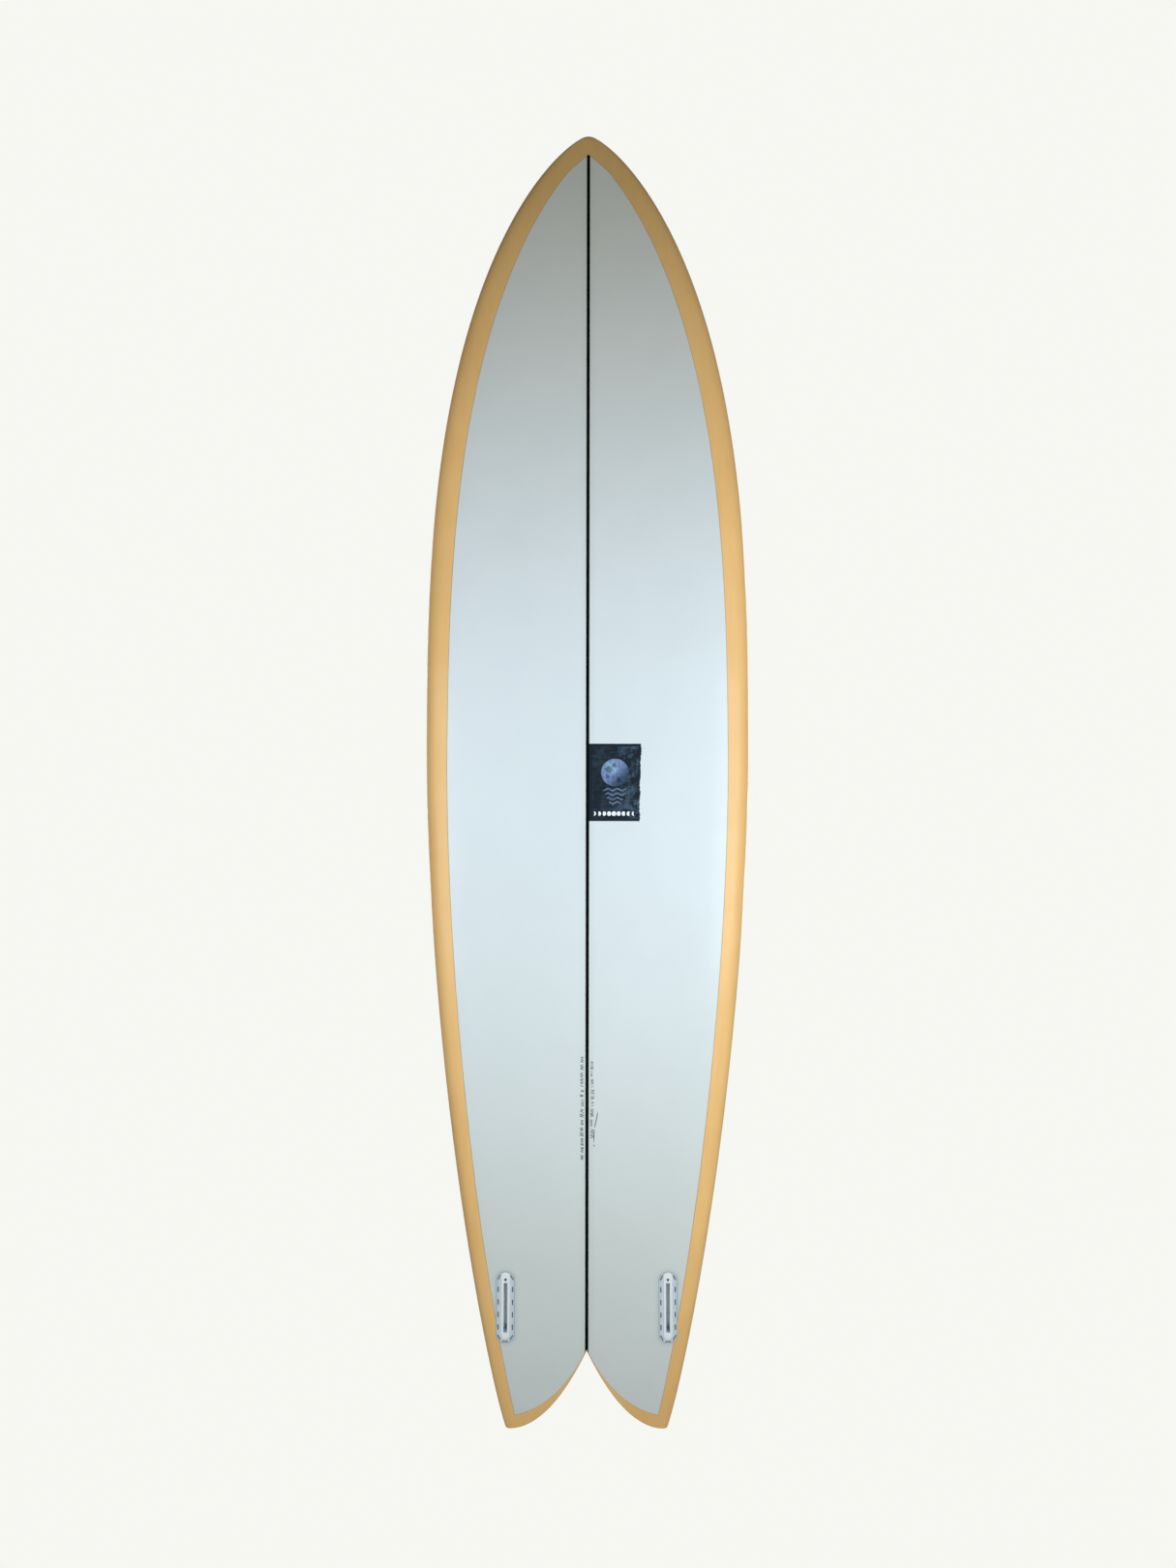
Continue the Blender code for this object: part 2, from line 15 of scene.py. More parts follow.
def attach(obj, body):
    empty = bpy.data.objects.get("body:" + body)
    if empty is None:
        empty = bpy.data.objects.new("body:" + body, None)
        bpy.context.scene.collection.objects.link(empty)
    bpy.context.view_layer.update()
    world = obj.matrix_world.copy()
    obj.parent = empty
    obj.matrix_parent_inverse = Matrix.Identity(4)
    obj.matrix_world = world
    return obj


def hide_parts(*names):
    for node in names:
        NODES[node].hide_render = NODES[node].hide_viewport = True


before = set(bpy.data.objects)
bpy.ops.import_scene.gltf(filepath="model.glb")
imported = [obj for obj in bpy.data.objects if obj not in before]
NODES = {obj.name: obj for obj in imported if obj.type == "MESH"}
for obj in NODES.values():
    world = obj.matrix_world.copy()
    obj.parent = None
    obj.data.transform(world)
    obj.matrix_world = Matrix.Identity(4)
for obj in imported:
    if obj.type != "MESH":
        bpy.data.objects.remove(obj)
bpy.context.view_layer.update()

NAMES = {1: "left", -1: "right"}  # which fin box lies on which side of X

# Outline, rocker and foil, as in the CAD
LENGTH, WIDTH, THICKNESS = 2.286, 0.546, 0.076
NOSE_Z, TAIL_Z = LENGTH / 2, -LENGTH / 2
WIDE_Z = 0.030
NOSE_POWER, NOSE_ROUND = 2.79, 0.71
TAIL_POWER, TAIL_ROUND = 1.70, 0.87
TAIL_TIP_X = 0.1395
SWALLOW_DEPTH, SWALLOW_POWER = 0.144, 2.1
ROCKER_Z = -0.06
NOSE_ROCKER, NOSE_ROCKER_POWER = 0.133, 2.4
TAIL_ROCKER, TAIL_ROCKER_POWER = 0.070, 2.2
END_THICKNESS, FOIL_POWER = 0.012, 2.6
APEX = 0.38
DECK_POWER, BOTTOM_POWER = 2.6, 12.0
NOSE_RADIUS = 0.010
SWALLOW_ROUND = 0.002  # how far in from its edge the swallow's wall rounds over
TIP_ROUND = 0.0042  # length of rail and of swallow that each tail tip's corner takes up
GLASS = 0.0010
STRINGER_HALF = 0.00275

# Cut lap, the edge of the tinted cloth on the bottom
LAP_TAIL, LAP_NOSE, LAP_POWER = 0.022, 0.047, 0.6
LAP_SWALLOW, LAP_CROTCH, LAP_SWELL = 0.0265, 0.0025, 1.3
LAP_NOSE_END = NOSE_Z - 0.0446
LAP_POINT = 1.0  # how fast the clear panel widens from its point at the nose
LAP_LINE = 0.0011  # width of the dark line that the cut edge leaves
LAP_RISE = 0.00003  # height of the lap over the clear panel

# Fin boxes, each in its own frame: u across, v along with +v towards the nose, w out of the bottom
FIN_X, FIN_Z, FIN_TOE = 0.139, -0.917, math.radians(0.8)
FLANGE_LENGTH, FLANGE_WIDTH, FLANGE_THICKNESS, FLANGE_DEPTH = 0.1315, 0.0325, 0.0020, 0.0022
FLAT_END = 0.0010
RIM_LENGTH, RIM_WIDTH, RIM_V, RIM_ROUND = 0.1210, 0.0156, 0.0024, 0.0006
BOX_LENGTH, BOX_WIDTH, BOX_DEPTH = 0.1120, 0.0130, 0.0180
SLOT_LENGTH, SLOT_WIDTH, SLOT_DEPTH, SLOT_V, SLOT_CORNER = 0.0907, 0.0066, 0.0150, -0.00115, 0.0012
PERFORATION_WIDTH, PERFORATION_LENGTH = 0.0022, 0.0100
PERFORATION_U, PERFORATION_V, PERFORATION_PITCH = 0.0123, -0.0014, 0.0229
CORNER_HOLE_U, CORNER_HOLE_V, CORNER_HOLE_TURN = 0.0109, 0.0546, math.radians(28)
END_HOLE_V = -0.0618
STEP_SIZE, STEP_V, STEP_DEPTH = 0.0050, -0.0530, 0.0012
SCREW_V, SCREW_LEAN, BORE_RADIUS, BORE_DEPTH = 0.0505, math.radians(30), 0.0021, 0.0160
SCREW_RADIUS, SCREW_LENGTH, SCREW_RECESS, HEX_APOTHEM = 0.0018, 0.0060, 0.0020, 0.0010
BORE_SEGMENTS = 48

# Leash plug in the deck
PLUG_X, PLUG_Z = 0.030, TAIL_Z + SWALLOW_DEPTH + 0.075
PLUG_RADIUS, PLUG_FLANGE_RADIUS, PLUG_BORE, PLUG_DEPTH, PLUG_PROUD = 0.0130, 0.0150, 0.0105, 0.0160, 0.0004
BAR_RADIUS, BAR_DEPTH, BAR_SEAT = 0.00125, 0.0050, 0.0013
PLUG_FLANGE, PLUG_FLOOR, PLUG_BOWL, PLUG_EDGE = 0.0015, 0.002, 0.003, 0.0006
PLUG_SEGMENTS, BAR_SEGMENTS, ARC_STEPS = 72, 32, 4

# Label beside the stringer
LABEL_WIDTH, LABEL_LENGTH = 0.0870, 0.129
LABEL_X, LABEL_Z = STRINGER_HALF + LABEL_WIDTH / 2, -0.0200
MOON_U, MOON_V, MOON_RADIUS = -0.0005, 0.0165, 0.0230
MOON_SEAS = (  # centre and radius of each
    (-0.0105, 0.0050, 0.0075),
    (-0.0015, 0.0120, 0.0050),
    (-0.0125, -0.0070, 0.0042),
    (0.0060, -0.0125, 0.0050),
)
PHASES, PHASE_PITCH, PHASE_RADIUS, PHASE_U, PHASE_V = 9, 0.0084, 0.0039, -0.0022, -0.0520

# What shows through the glass is drawn as thin films, one over the other
FILM = 0.0001
SHARP = math.radians(40)

PENCIL_Z = -0.563
LENS, CAMERA_PLACE, CAMERA_ROLL = 23.42, (0.0008, -1.776, -0.0227), math.radians(-0.09)
PALE = (0.9216, 0.930, 0.887)  # of the ground and the floor
FLOOR_SIZE, FLOOR_GAP = 2.4, 0.010
LONGEST_SIDE, SIDE_PARTS = 0.020, 12  # a ring's side that is longer than this gets so many parts

# How finely the skins are drawn
ROWS = 170
COLUMNS = 22
STRINGER_COLUMNS = 3
BAND_RINGS = 16
TIP_STEPS = 8
NOSE_SPREAD = 0.012  # half the stretch of outline that faces the stringer's nose end


# ---------------------------------------------------------------- shape of the board


def half_width(z):
    """Half the outline's width at a height z."""
    if z > WIDE_Z:
        t = min((z - WIDE_Z) / (NOSE_Z - WIDE_Z), 1.0)
        return WIDTH / 2 * (1 - t**NOSE_POWER) ** NOSE_ROUND
    t = min((WIDE_Z - z) / (WIDE_Z - TAIL_Z), 1.0)
    return TAIL_TIP_X + (WIDTH / 2 - TAIL_TIP_X) * (1 - t**TAIL_POWER) ** TAIL_ROUND


def nose_height(x):
    """Height at which the outline of the nose is x wide on each side."""
    t = (1 - (2 * x / WIDTH) ** (1 / NOSE_ROUND)) ** (1 / NOSE_POWER)
    return WIDE_Z + (NOSE_Z - WIDE_Z) * t


def bottom_centre(z):
    nose = max(z - ROCKER_Z, 0) / (NOSE_Z - ROCKER_Z)
    tail = max(ROCKER_Z - z, 0) / (ROCKER_Z - TAIL_Z)
    level = (-ROCKER_Z / (NOSE_Z - ROCKER_Z)) ** NOSE_ROCKER_POWER * NOSE_ROCKER
    return NOSE_ROCKER * nose**NOSE_ROCKER_POWER + TAIL_ROCKER * tail**TAIL_ROCKER_POWER - level - THICKNESS


def thickness(z):
    return END_THICKNESS + (THICKNESS - END_THICKNESS) * (1 - min(abs(z) / NOSE_Z, 1.0) ** FOIL_POWER)


def swallow_z(x, inset=0.0):
    """Edge of the swallow tail, moved into the board by inset."""
    across = max(1 - abs(x) / TAIL_TIP_X, 0)
    slope = SWALLOW_POWER * SWALLOW_DEPTH / TAIL_TIP_X * across ** (SWALLOW_POWER - 1)
    return TAIL_Z + SWALLOW_DEPTH * across**SWALLOW_POWER + inset * math.hypot(1, slope)


def bulge(share):
    """A quarter circle: 0 at the edge, and 1 from share 1 on."""
    return math.sqrt(1 - (1 - min(max(share, 0), 1)) ** 2)


def surface_y(x, z, deck, lift=0.0):
    """The board's surface: superellipse rails that meet at the apex, closed at the nose and the swallow."""
    across = min(abs(x) / max(half_width(z), 1e-9), 1.0)
    share = max(1 - across ** (DECK_POWER if deck else BOTTOM_POWER), 0)
    inset = (z - swallow_z(x)) / (swallow_z(x, 1) - swallow_z(x))
    full = math.sqrt(share) * bulge((NOSE_Z - z) / NOSE_RADIUS) * bulge(inset / SWALLOW_ROUND)
    below = APEX * thickness(z)
    height = thickness(z) - below if deck else -below
    return bottom_centre(z) + below + full * (height + (lift if deck else -lift))


def lap_x(z):
    """Half the width of the clear panel on the bottom."""
    share = (z - TAIL_Z) / LENGTH
    margin = LAP_TAIL + (LAP_NOSE - LAP_TAIL) * share**LAP_POWER
    point = STRINGER_HALF + LAP_POINT * (LAP_NOSE_END - z)
    return min(half_width(z) - margin, point)


def lap_swallow_z(x):
    """Where the clear panel ends above the swallow."""
    share = math.sin(math.pi / 2 * min(abs(x) / (TAIL_TIP_X - LAP_TAIL), 1)) ** LAP_SWELL
    return swallow_z(x, LAP_CROTCH * (1 - share)) + LAP_SWALLOW * share


# ---------------------------------------------------------------- meshes


def new_object(name, mesh, finishes):
    made = bpy.data.objects.new(name, mesh)
    bpy.context.scene.collection.objects.link(made)
    for finish in finishes:
        mesh.materials.append(finish)
    return made


def new_mesh(name, shape):
    bmesh.ops.remove_doubles(shape, verts=shape.verts, dist=1e-6)
    mesh = bpy.data.meshes.new(name)
    shape.to_mesh(mesh)
    shape.free()
    smooth(mesh)
    return mesh


def smooth(mesh):
    mesh.shade_smooth()
    mesh.set_sharp_from_angle(angle=SHARP)


def bake_modifiers(target):
    """Replaces an object's mesh by what its modifiers make of it."""
    bpy.context.view_layer.update()
    evaluated = target.evaluated_get(bpy.context.evaluated_depsgraph_get())
    old = target.data
    target.data = bpy.data.meshes.new_from_object(evaluated)
    target.modifiers.clear()
    bpy.data.meshes.remove(old)
    smooth(target.data)


def lay(shape, rows, slot, deck):
    """Adds a grid of quads that faces out of the bottom or the deck, and its mirror image at -x."""
    for side in (1, -1):
        verts = [[shape.verts.new((side * x, y, z)) for x, y, z in row] for row in rows]
        for low, high in zip(verts, verts[1:]):
            for a, b, c, d in zip(low, low[1:], high[1:], high):
                quad = (a, b, c, d) if (side > 0) != deck else (d, c, b, a)
                shape.faces.new(quad).material_index = slot


def put(plan, deck, lift=0.0):
    """A plan point (x, z) put on the bottom or the deck."""
    x, z = plan
    return (x, surface_y(x, z, deck, lift), z)


# ---------------------------------------------------------------- the skins


def row_share(i):
    """Height of a row as a share of the panel, with the rows closer together at the ends."""
    even = i / ROWS
    return (even + (1 - math.cos(math.pi * even)) / 2) / 2


def stringer_column(k):
    """One column of the strip over the stringer, whose nose end is round."""
    x = STRINGER_HALF * math.sin(math.pi / 2 * k / STRINGER_COLUMNS)
    low = lap_swallow_z(x)
    high = LAP_NOSE_END + math.sqrt(STRINGER_HALF**2 - x * x)
    return [(x, low + (high - low) * row_share(i)) for i in range(ROWS + 1)]


def panel_column(j):
    """One column of the clear panel, between the stringer and the cut lap line."""

    def across(z):
        return STRINGER_HALF + j / COLUMNS * (max(lap_x(z), STRINGER_HALF) - STRINGER_HALF)

    low = TAIL_Z
    for _ in range(40):
        low = lap_swallow_z(across(low))
    heights = [low + (LAP_NOSE_END - low) * row_share(i) for i in range(ROWS + 1)]
    return [(across(z), z) for z in heights]


def rounded_tip(share):
    """The tail tip's corner: its place on the sharp outline and on the rounded one, for a share of 0 to 1."""
    rail_z = TAIL_Z + TIP_ROUND
    start = Vector((half_width(rail_z), rail_z))
    tip = Vector((TAIL_TIP_X, TAIL_Z))
    end_x = TAIL_TIP_X - TIP_ROUND
    end = Vector((end_x, swallow_z(end_x)))
    if share < 0.5:
        z = rail_z + (TAIL_Z - rail_z) * 2 * share
        sharp = (half_width(z), z)
    else:
        x = TAIL_TIP_X + (end_x - TAIL_TIP_X) * (2 * share - 1)
        sharp = (x, swallow_z(x))
    curve = start * (1 - share) ** 2 + tip * 2 * share * (1 - share) + end * share**2
    return sharp, tuple(curve)


def stations(strip, panel):
    """From the nose to the crotch: points on the lap line, and on the sharp and the rounded outline."""
    found = []
    for k, column in enumerate(strip):
        x = NOSE_SPREAD * k / STRINGER_COLUMNS
        edge = (x, nose_height(x))
        found.append((column[-1], edge, edge))
    reach = nose_height(NOSE_SPREAD) - TAIL_Z
    for i in range(ROWS - 1, 0, -1):
        z = TAIL_Z + reach * row_share(i)
        edge = (half_width(z), z)
        found.append((panel[-1][i], edge, edge))
    corner = panel[-1][0]
    for step in range(TIP_STEPS + 1):
        found.append((corner, *rounded_tip(step / TIP_STEPS)))
    low_row = [column[0] for column in panel[-2::-1] + strip[-2::-1]]
    for x, z in low_row:
        out_x = x * TAIL_TIP_X / corner[0]
        edge = (out_x, swallow_z(out_x))
        found.append(((x, z), edge, edge))
    return found


def band_section(lap, sharp, rounded, deck):
    """Points from the lap line out to the outline, close together where the rail turns."""
    width = math.dist(lap, sharp)
    line = 1 - min(LAP_LINE / width, 0.3)
    shares = [1.0] + [line * (1 - ring / BAND_RINGS) ** 2 for ring in range(BAND_RINGS + 1)]
    section = []
    for ring, share in enumerate(shares):
        along = [s + (p - s) * share for p, s in zip(lap, sharp)]
        moved = [r + (p - r) * share for p, r in zip(lap, rounded)]
        y = surface_y(*along, deck, LAP_RISE if ring and not deck else 0)
        section.append((moved[0], y, moved[1]))
    return section


def skins(clear, stringer, tinted, lap_line, tinted_stringer):
    """The clear glass of the bottom, and the tinted glass that covers the deck and wraps the rails."""
    strip = [stringer_column(k) for k in range(STRINGER_COLUMNS + 1)]
    panel = [strip[-1]] + [panel_column(j) for j in range(1, COLUMNS + 1)]

    bottom = bmesh.new()
    deck = bmesh.new()
    for shape, is_deck in ((bottom, False), (deck, True)):
        for slot, columns in ((0 if shape is bottom else 2, strip), (1 if shape is bottom else 0, panel)):
            rows = [[put(column[i], is_deck) for column in columns] for i in range(ROWS + 1)]
            lay(shape, rows, slot, is_deck)
    for is_deck in (False, True):
        sections = [band_section(*station, is_deck) for station in stations(strip, panel[1:])]
        lay(deck, [s[:2] for s in sections[::-1]], 0 if is_deck else 1, is_deck)
        lay(deck, [s[1:] for s in sections[::-1]], 0, is_deck)
    for side in (1, -1):
        open_hole(bottom, [box_seat(side) @ p for p in rim_ring(0, 2 * FILM)])
    open_hole(deck, [plug_seat() @ p for p in circle(PLUG_FLANGE_RADIUS + FILM, 0, PLUG_SEGMENTS)])
    for name, shape, finishes, node in (
        ("clear_bottom_glass", bottom, [stringer, clear], "bottom_laminate"),
        ("tinted_deck_glass", deck, [tinted, lap_line, tinted_stringer], "deck_laminate"),
    ):
        skin = finish_piece(name, shape, finishes, "board", node)
        shell = skin.modifiers.new("thickness", "SOLIDIFY")
        shell.thickness = GLASS
        shell.offset = -1
        bake_modifiers(skin)


def open_hole(sheet, outline):
    """Cuts a convex outline out of a sheet, side by side, with cuts that go straight through along Y."""
    centre = sum(outline, Vector()) / len(outline)
    reach = max((p - centre).length for p in outline) + 0.02
    inside = [f for f in sheet.faces if (f.calc_center_median() - centre).length < reach]
    for a, b in zip(outline, outline[1:] + outline[:1]):
        out = (b - a).cross(Vector((0, 1, 0)))
        out = out if out.dot(a - centre) > 0 else -out
        edges = {e for f in inside for e in f.edges}
        verts = {v for f in inside for v in f.verts}
        geom = inside + list(edges) + list(verts)
        split = bmesh.ops.bisect_plane(sheet, geom=geom, plane_co=a, plane_no=out, dist=1e-7)
        faces = [f for f in split["geom"] if isinstance(f, bmesh.types.BMFace)]
        inside = [f for f in faces if out.dot(f.calc_center_median() - a) < 0]
    bmesh.ops.delete(sheet, geom=inside, context="FACES")


# ---------------------------------------------------------------- shapes in a part's own frame


def surface_frame(x, z, deck, turn=0.0, footprint=0.016):
    """A frame on the surface: local Z out of the board, local Y along it towards the nose, then turned."""
    side = 1 if deck else -1
    rise = surface_y(x, z + footprint, deck) - surface_y(x, z - footprint, deck)
    lean = surface_y(x + footprint, z, deck) - surface_y(x - footprint, z, deck)
    along = Vector((0, rise, 2 * footprint)).normalized()
    out = Vector((2 * footprint, lean, 0)).cross(along).normalized()
    out = out if out.y * side > 0 else -out
    axes = Matrix((along.cross(out), along, out)).transposed().to_4x4()
    return Matrix.Translation((x, surface_y(x, z, deck), z)) @ axes @ Matrix.Rotation(turn, 4, "Z")


def drape(shape, seat, deck=False):
    """Moves a shape drawn in a part's frame into place, and bends it to the board's surface."""
    for vert in shape.verts:
        flat = seat @ Vector((vert.co.x, vert.co.y, 0))
        vert.co = seat @ vert.co
        vert.co.y += surface_y(flat.x, flat.z, deck) - flat.y


def rounded(length, width, radius, w, v=0.0, grow=0.0, corner_steps=12):
    """A rounded rectangle along local Y at a height w, moved along by v and grown on all sides."""
    radius += grow
    half_u, half_v = width / 2 + grow - radius, length / 2 + grow - radius
    ring = []
    for quarter, (side_u, side_v) in enumerate(((1, 1), (-1, 1), (-1, -1), (1, -1))):
        for step in range(corner_steps + 1):
            angle = (quarter + step / corner_steps) * math.pi / 2
            u = side_u * half_u + radius * math.cos(angle)
            ring.append(Vector((u, v + side_v * half_v + radius * math.sin(angle), w)))
    return subdivided(ring, LONGEST_SIDE)


def subdivided(ring, longest):
    """A ring with points added on its longest sides, so that it can bend."""
    found = []
    for a, b in zip(ring, ring[1:] + ring[:1]):
        parts = SIDE_PARTS if (b - a).length > longest else 1
        found += [a.lerp(b, k / parts) for k in range(parts)]
    return found


def circle(radius, w, count):
    turns = [math.tau * i / count for i in range(count)]
    return [Vector((radius * math.cos(a), radius * math.sin(a), w)) for a in turns]


def hexagon(apothem, w, count):
    """A hexagon with as many points as a circle, so that the two can be joined."""
    ring = []
    for i in range(count):
        angle = math.tau * i / count
        radius = apothem / math.cos(angle % (math.pi / 3) - math.pi / 6)
        ring.append(Vector((radius * math.cos(angle), radius * math.sin(angle), w)))
    return ring


def loft(rings, shape=None, capped=True):
    """A closed body through rings of equally many points, with end caps or joined back to the first ring."""
    shape = shape or bmesh.new()
    rows = [[shape.verts.new(p) for p in ring] for ring in rings]
    faces = []
    for low, high in zip(rows, rows[1:] if capped else rows[1:] + rows[:1]):
        for i in range(len(low)):
            j = (i + 1) % len(low)
            faces.append(shape.faces.new((low[i], low[j], high[j], high[i])))
    if capped:
        faces += [shape.faces.new(rows[0][::-1]), shape.faces.new(rows[-1])]
    bmesh.ops.recalc_face_normals(shape, faces=faces)
    return shape


def placed(shape, matrix):
    shape.transform(matrix)
    return shape


def cut(target, shape):
    """Cuts a closed shape out of an object for good."""
    bmesh.ops.recalc_face_normals(shape, faces=shape.faces)
    tool = new_object("cutter", new_mesh("cutter", shape), [])
    step = target.modifiers.new("cut", "BOOLEAN")
    step.object = tool
    step.solver = "EXACT"
    bake_modifiers(target)
    bpy.data.objects.remove(tool)


def finish_piece(name, shape, finishes, body, *nodes):
    """A shape in its final place, made into a piece that rides on a body and may stand for CAD nodes."""
    piece = new_object(name, new_mesh(name, shape), finishes)
    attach(piece, body)
    if nodes:
        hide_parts(*nodes)
    return piece


# ---------------------------------------------------------------- fin boxes


def flange_ring(w, grow=0.0):
    return rounded(FLANGE_LENGTH, FLANGE_WIDTH, (FLANGE_WIDTH - FLAT_END) / 2, w, 0, grow)


def body_ring(w, grow=0.0):
    return rounded(BOX_LENGTH, BOX_WIDTH, (BOX_WIDTH - FLAT_END) / 2, w, 0, grow)


def rim_ring(w, grow=0.0):
    return rounded(RIM_LENGTH, RIM_WIDTH, (RIM_WIDTH - FLAT_END) / 2, w, RIM_V, grow)


def slot_ring(w, grow=0.0):
    return rounded(SLOT_LENGTH, SLOT_WIDTH, SLOT_CORNER, w, SLOT_V, grow)


def box_rings():
    """From the box's floor up its outside, over the rim's rounded edges and down into the slot."""
    quarter = [math.pi / 2 * k / 4 for k in range(5)]
    outer = [rim_ring(RIM_ROUND * (math.sin(a) - 1), RIM_ROUND * (math.cos(a) - 1)) for a in quarter]
    half = RIM_ROUND / 2
    inner = [slot_ring(half * (math.cos(a) - 1), half * (1 - math.sin(a))) for a in quarter]
    under, top = -FLANGE_DEPTH - FLANGE_THICKNESS, -FLANGE_DEPTH
    body = [body_ring(top - BOX_DEPTH), body_ring(under)]
    below = body + [flange_ring(under), flange_ring(top), rim_ring(top)]
    return below + outer + inner + [slot_ring(-SLOT_DEPTH)]


def perforations():
    """Places of the flange's slots: four down each side, four round its corners and one at its tail end."""
    places = []
    for side in (-1, 1):
        for step in (-1.5, -0.5, 0.5, 1.5):
            places.append((side * PERFORATION_U, PERFORATION_V + step * PERFORATION_PITCH, 0))
        for end in (-1, 1):
            places.append((side * CORNER_HOLE_U, end * CORNER_HOLE_V, side * end * CORNER_HOLE_TURN))
    places.append((0, END_HOLE_V, math.pi / 2))
    return places


def screw_frame(along=0.0):
    """The screw's own frame in the box: local Z points out of the bore, along it by the given distance."""
    at = Matrix.Translation((0, SCREW_V, 0)) @ Matrix.Rotation(-SCREW_LEAN, 4, "X")
    return at @ Matrix.Translation((0, 0, along))


def box_seat(side):
    return surface_frame(side * FIN_X, FIN_Z, False, side * FIN_TOE)


def fin_box(side, finishes):
    """One fin box: its open slot and rim, and the flange and perforations that show through the glass."""
    name = NAMES[side]
    seat = box_seat(side)

    box = loft(box_rings())
    drape(box, seat)
    box = finish_piece(f"fin_box_{name}_moulding", box, [finishes["box"]], "board", f"fin_box_{name}")
    bore = loft([circle(BORE_RADIUS, w, BORE_SEGMENTS) for w in (-BORE_DEPTH, BORE_DEPTH)])
    cut(box, placed(bore, seat @ screw_frame()))
    step = [rounded(STEP_SIZE, STEP_SIZE, STEP_SIZE / 10, w, STEP_V) for w in (-STEP_DEPTH, STEP_DEPTH)]
    cut(box, placed(loft(step), seat))

    outer, inner = [flange_ring(w) for w in (-FILM, FILM)], [rim_ring(w, 2 * FILM) for w in (FILM, -FILM)]
    flange = loft(outer + inner, capped=False)
    drape(flange, seat)
    finish_piece(f"fin_flange_{name}_under_glass", flange, [finishes["flange"]], "board")

    marks = bmesh.new()
    for u, v, turn in perforations():
        mark = Matrix.Translation((u, v, 0)) @ Matrix.Rotation(turn, 4, "Z")
        size = PERFORATION_LENGTH, PERFORATION_WIDTH, PERFORATION_WIDTH / 3
        rings = [rounded(*size, w) for w in (0, 2 * FILM)]
        loft([[mark @ p for p in ring] for ring in rings], marks)
    drape(marks, seat)
    finish_piece(f"fin_flange_{name}_perforations", marks, [finishes["perforation"]], "board")

    fin_screw(name, seat @ screw_frame(-SCREW_RECESS / math.cos(SCREW_LEAN)), finishes["steel"])


def fin_screw(name, matrix, steel):
    """A set screw with a cut thread and a hexagon socket."""
    count, pitch, crest = 36, 0.0007, 0.00025
    rings = [circle(SCREW_RADIUS - 2 * crest, -SCREW_LENGTH, count)]
    turns = int((SCREW_LENGTH - 2 * crest) / pitch)
    for turn in range(turns):
        low = -SCREW_LENGTH + crest + turn * pitch
        rings.append(circle(SCREW_RADIUS - crest, low, count))
        rings.append(circle(SCREW_RADIUS, low + pitch / 2, count))
    rings.append(circle(SCREW_RADIUS - crest, -crest, count))
    rings.append(circle(SCREW_RADIUS - 2 * crest, 0, count))
    rings += [hexagon(HEX_APOTHEM, 0, count), hexagon(HEX_APOTHEM, -2 * HEX_APOTHEM, count)]
    screw = placed(loft(rings), matrix)
    finish_piece(f"fin_screw_{name}_threaded", screw, [steel], f"screw_{name}", f"fin_screw_{name}")


# ---------------------------------------------------------------- leash plug


def plug_seat():
    return surface_frame(PLUG_X, PLUG_Z, True)


def leash_plug(plastic, steel):
    """The cup in the deck and its bar."""
    seat = plug_seat()
    arc = [math.pi / 2 * k / ARC_STEPS for k in range(ARC_STEPS + 1)]
    bends = [(1 - math.cos(a), 1 - math.sin(a)) for a in arc]
    top, floor = PLUG_PROUD, -PLUG_DEPTH + PLUG_FLOOR

    def ring(radius, w):
        return circle(radius, w, PLUG_SEGMENTS)

    cup = [ring(PLUG_RADIUS, -PLUG_DEPTH), ring(PLUG_RADIUS, top - PLUG_FLANGE)]
    cup.append(ring(PLUG_FLANGE_RADIUS, top - PLUG_FLANGE))
    cup += [ring(PLUG_FLANGE_RADIUS - PLUG_EDGE * p, top - PLUG_EDGE * q) for p, q in bends]
    cup += [ring(PLUG_BORE + PLUG_EDGE * q, top - PLUG_EDGE * p) for p, q in bends]
    bowl = [ring(PLUG_BORE - PLUG_BOWL * p, floor + PLUG_BOWL * q) for p, q in bends]
    cup = placed(loft(cup + bowl), seat)
    finish_piece("leash_plug_cup", cup, [plastic], "board", "leash_plug")

    half = PLUG_BORE + BAR_SEAT
    across = Matrix.Translation((0, 0, -BAR_DEPTH)) @ Matrix.Rotation(math.pi / 2, 4, "Y")
    bar = placed(loft([circle(BAR_RADIUS, w, BAR_SEGMENTS) for w in (-half, half)]), seat @ across)
    finish_piece("leash_bar", bar, [steel], "board", "leash_plug_bar")


# ---------------------------------------------------------------- label and pencil


def film(name, grids, height, finish, *nodes):
    """Thin sheets, each through rows of (u, v) points in the label's frame, at a height of so many films."""
    shape = bmesh.new()
    for rows in grids:
        levels = height * FILM, (height - 1) * FILM
        top, base = ([[shape.verts.new((u, v, w)) for u, v in row] for row in rows] for w in levels)
        for layer, flip in ((top, False), (base, True)):
            for low, high in zip(layer, layer[1:]):
                for a, b, c, d in zip(low, low[1:], high[1:], high):
                    shape.faces.new((d, c, b, a) if flip else (a, b, c, d))
        rim_top = edge_loop(top)
        rim_base = edge_loop(base)
        for i in range(len(rim_top)):
            j = (i + 1) % len(rim_top)
            shape.faces.new((rim_top[j], rim_top[i], rim_base[i], rim_base[j]))
    drape(shape, surface_frame(LABEL_X, LABEL_Z, False))
    return finish_piece(name, shape, [finish], "board", *nodes)


def edge_loop(grid):
    """The points round a grid, in order."""
    right = [row[-1] for row in grid[1:]]
    left = [row[0] for row in grid[1:-1]]
    return list(grid[0]) + right + list(grid[-1][-2::-1]) + left[::-1]


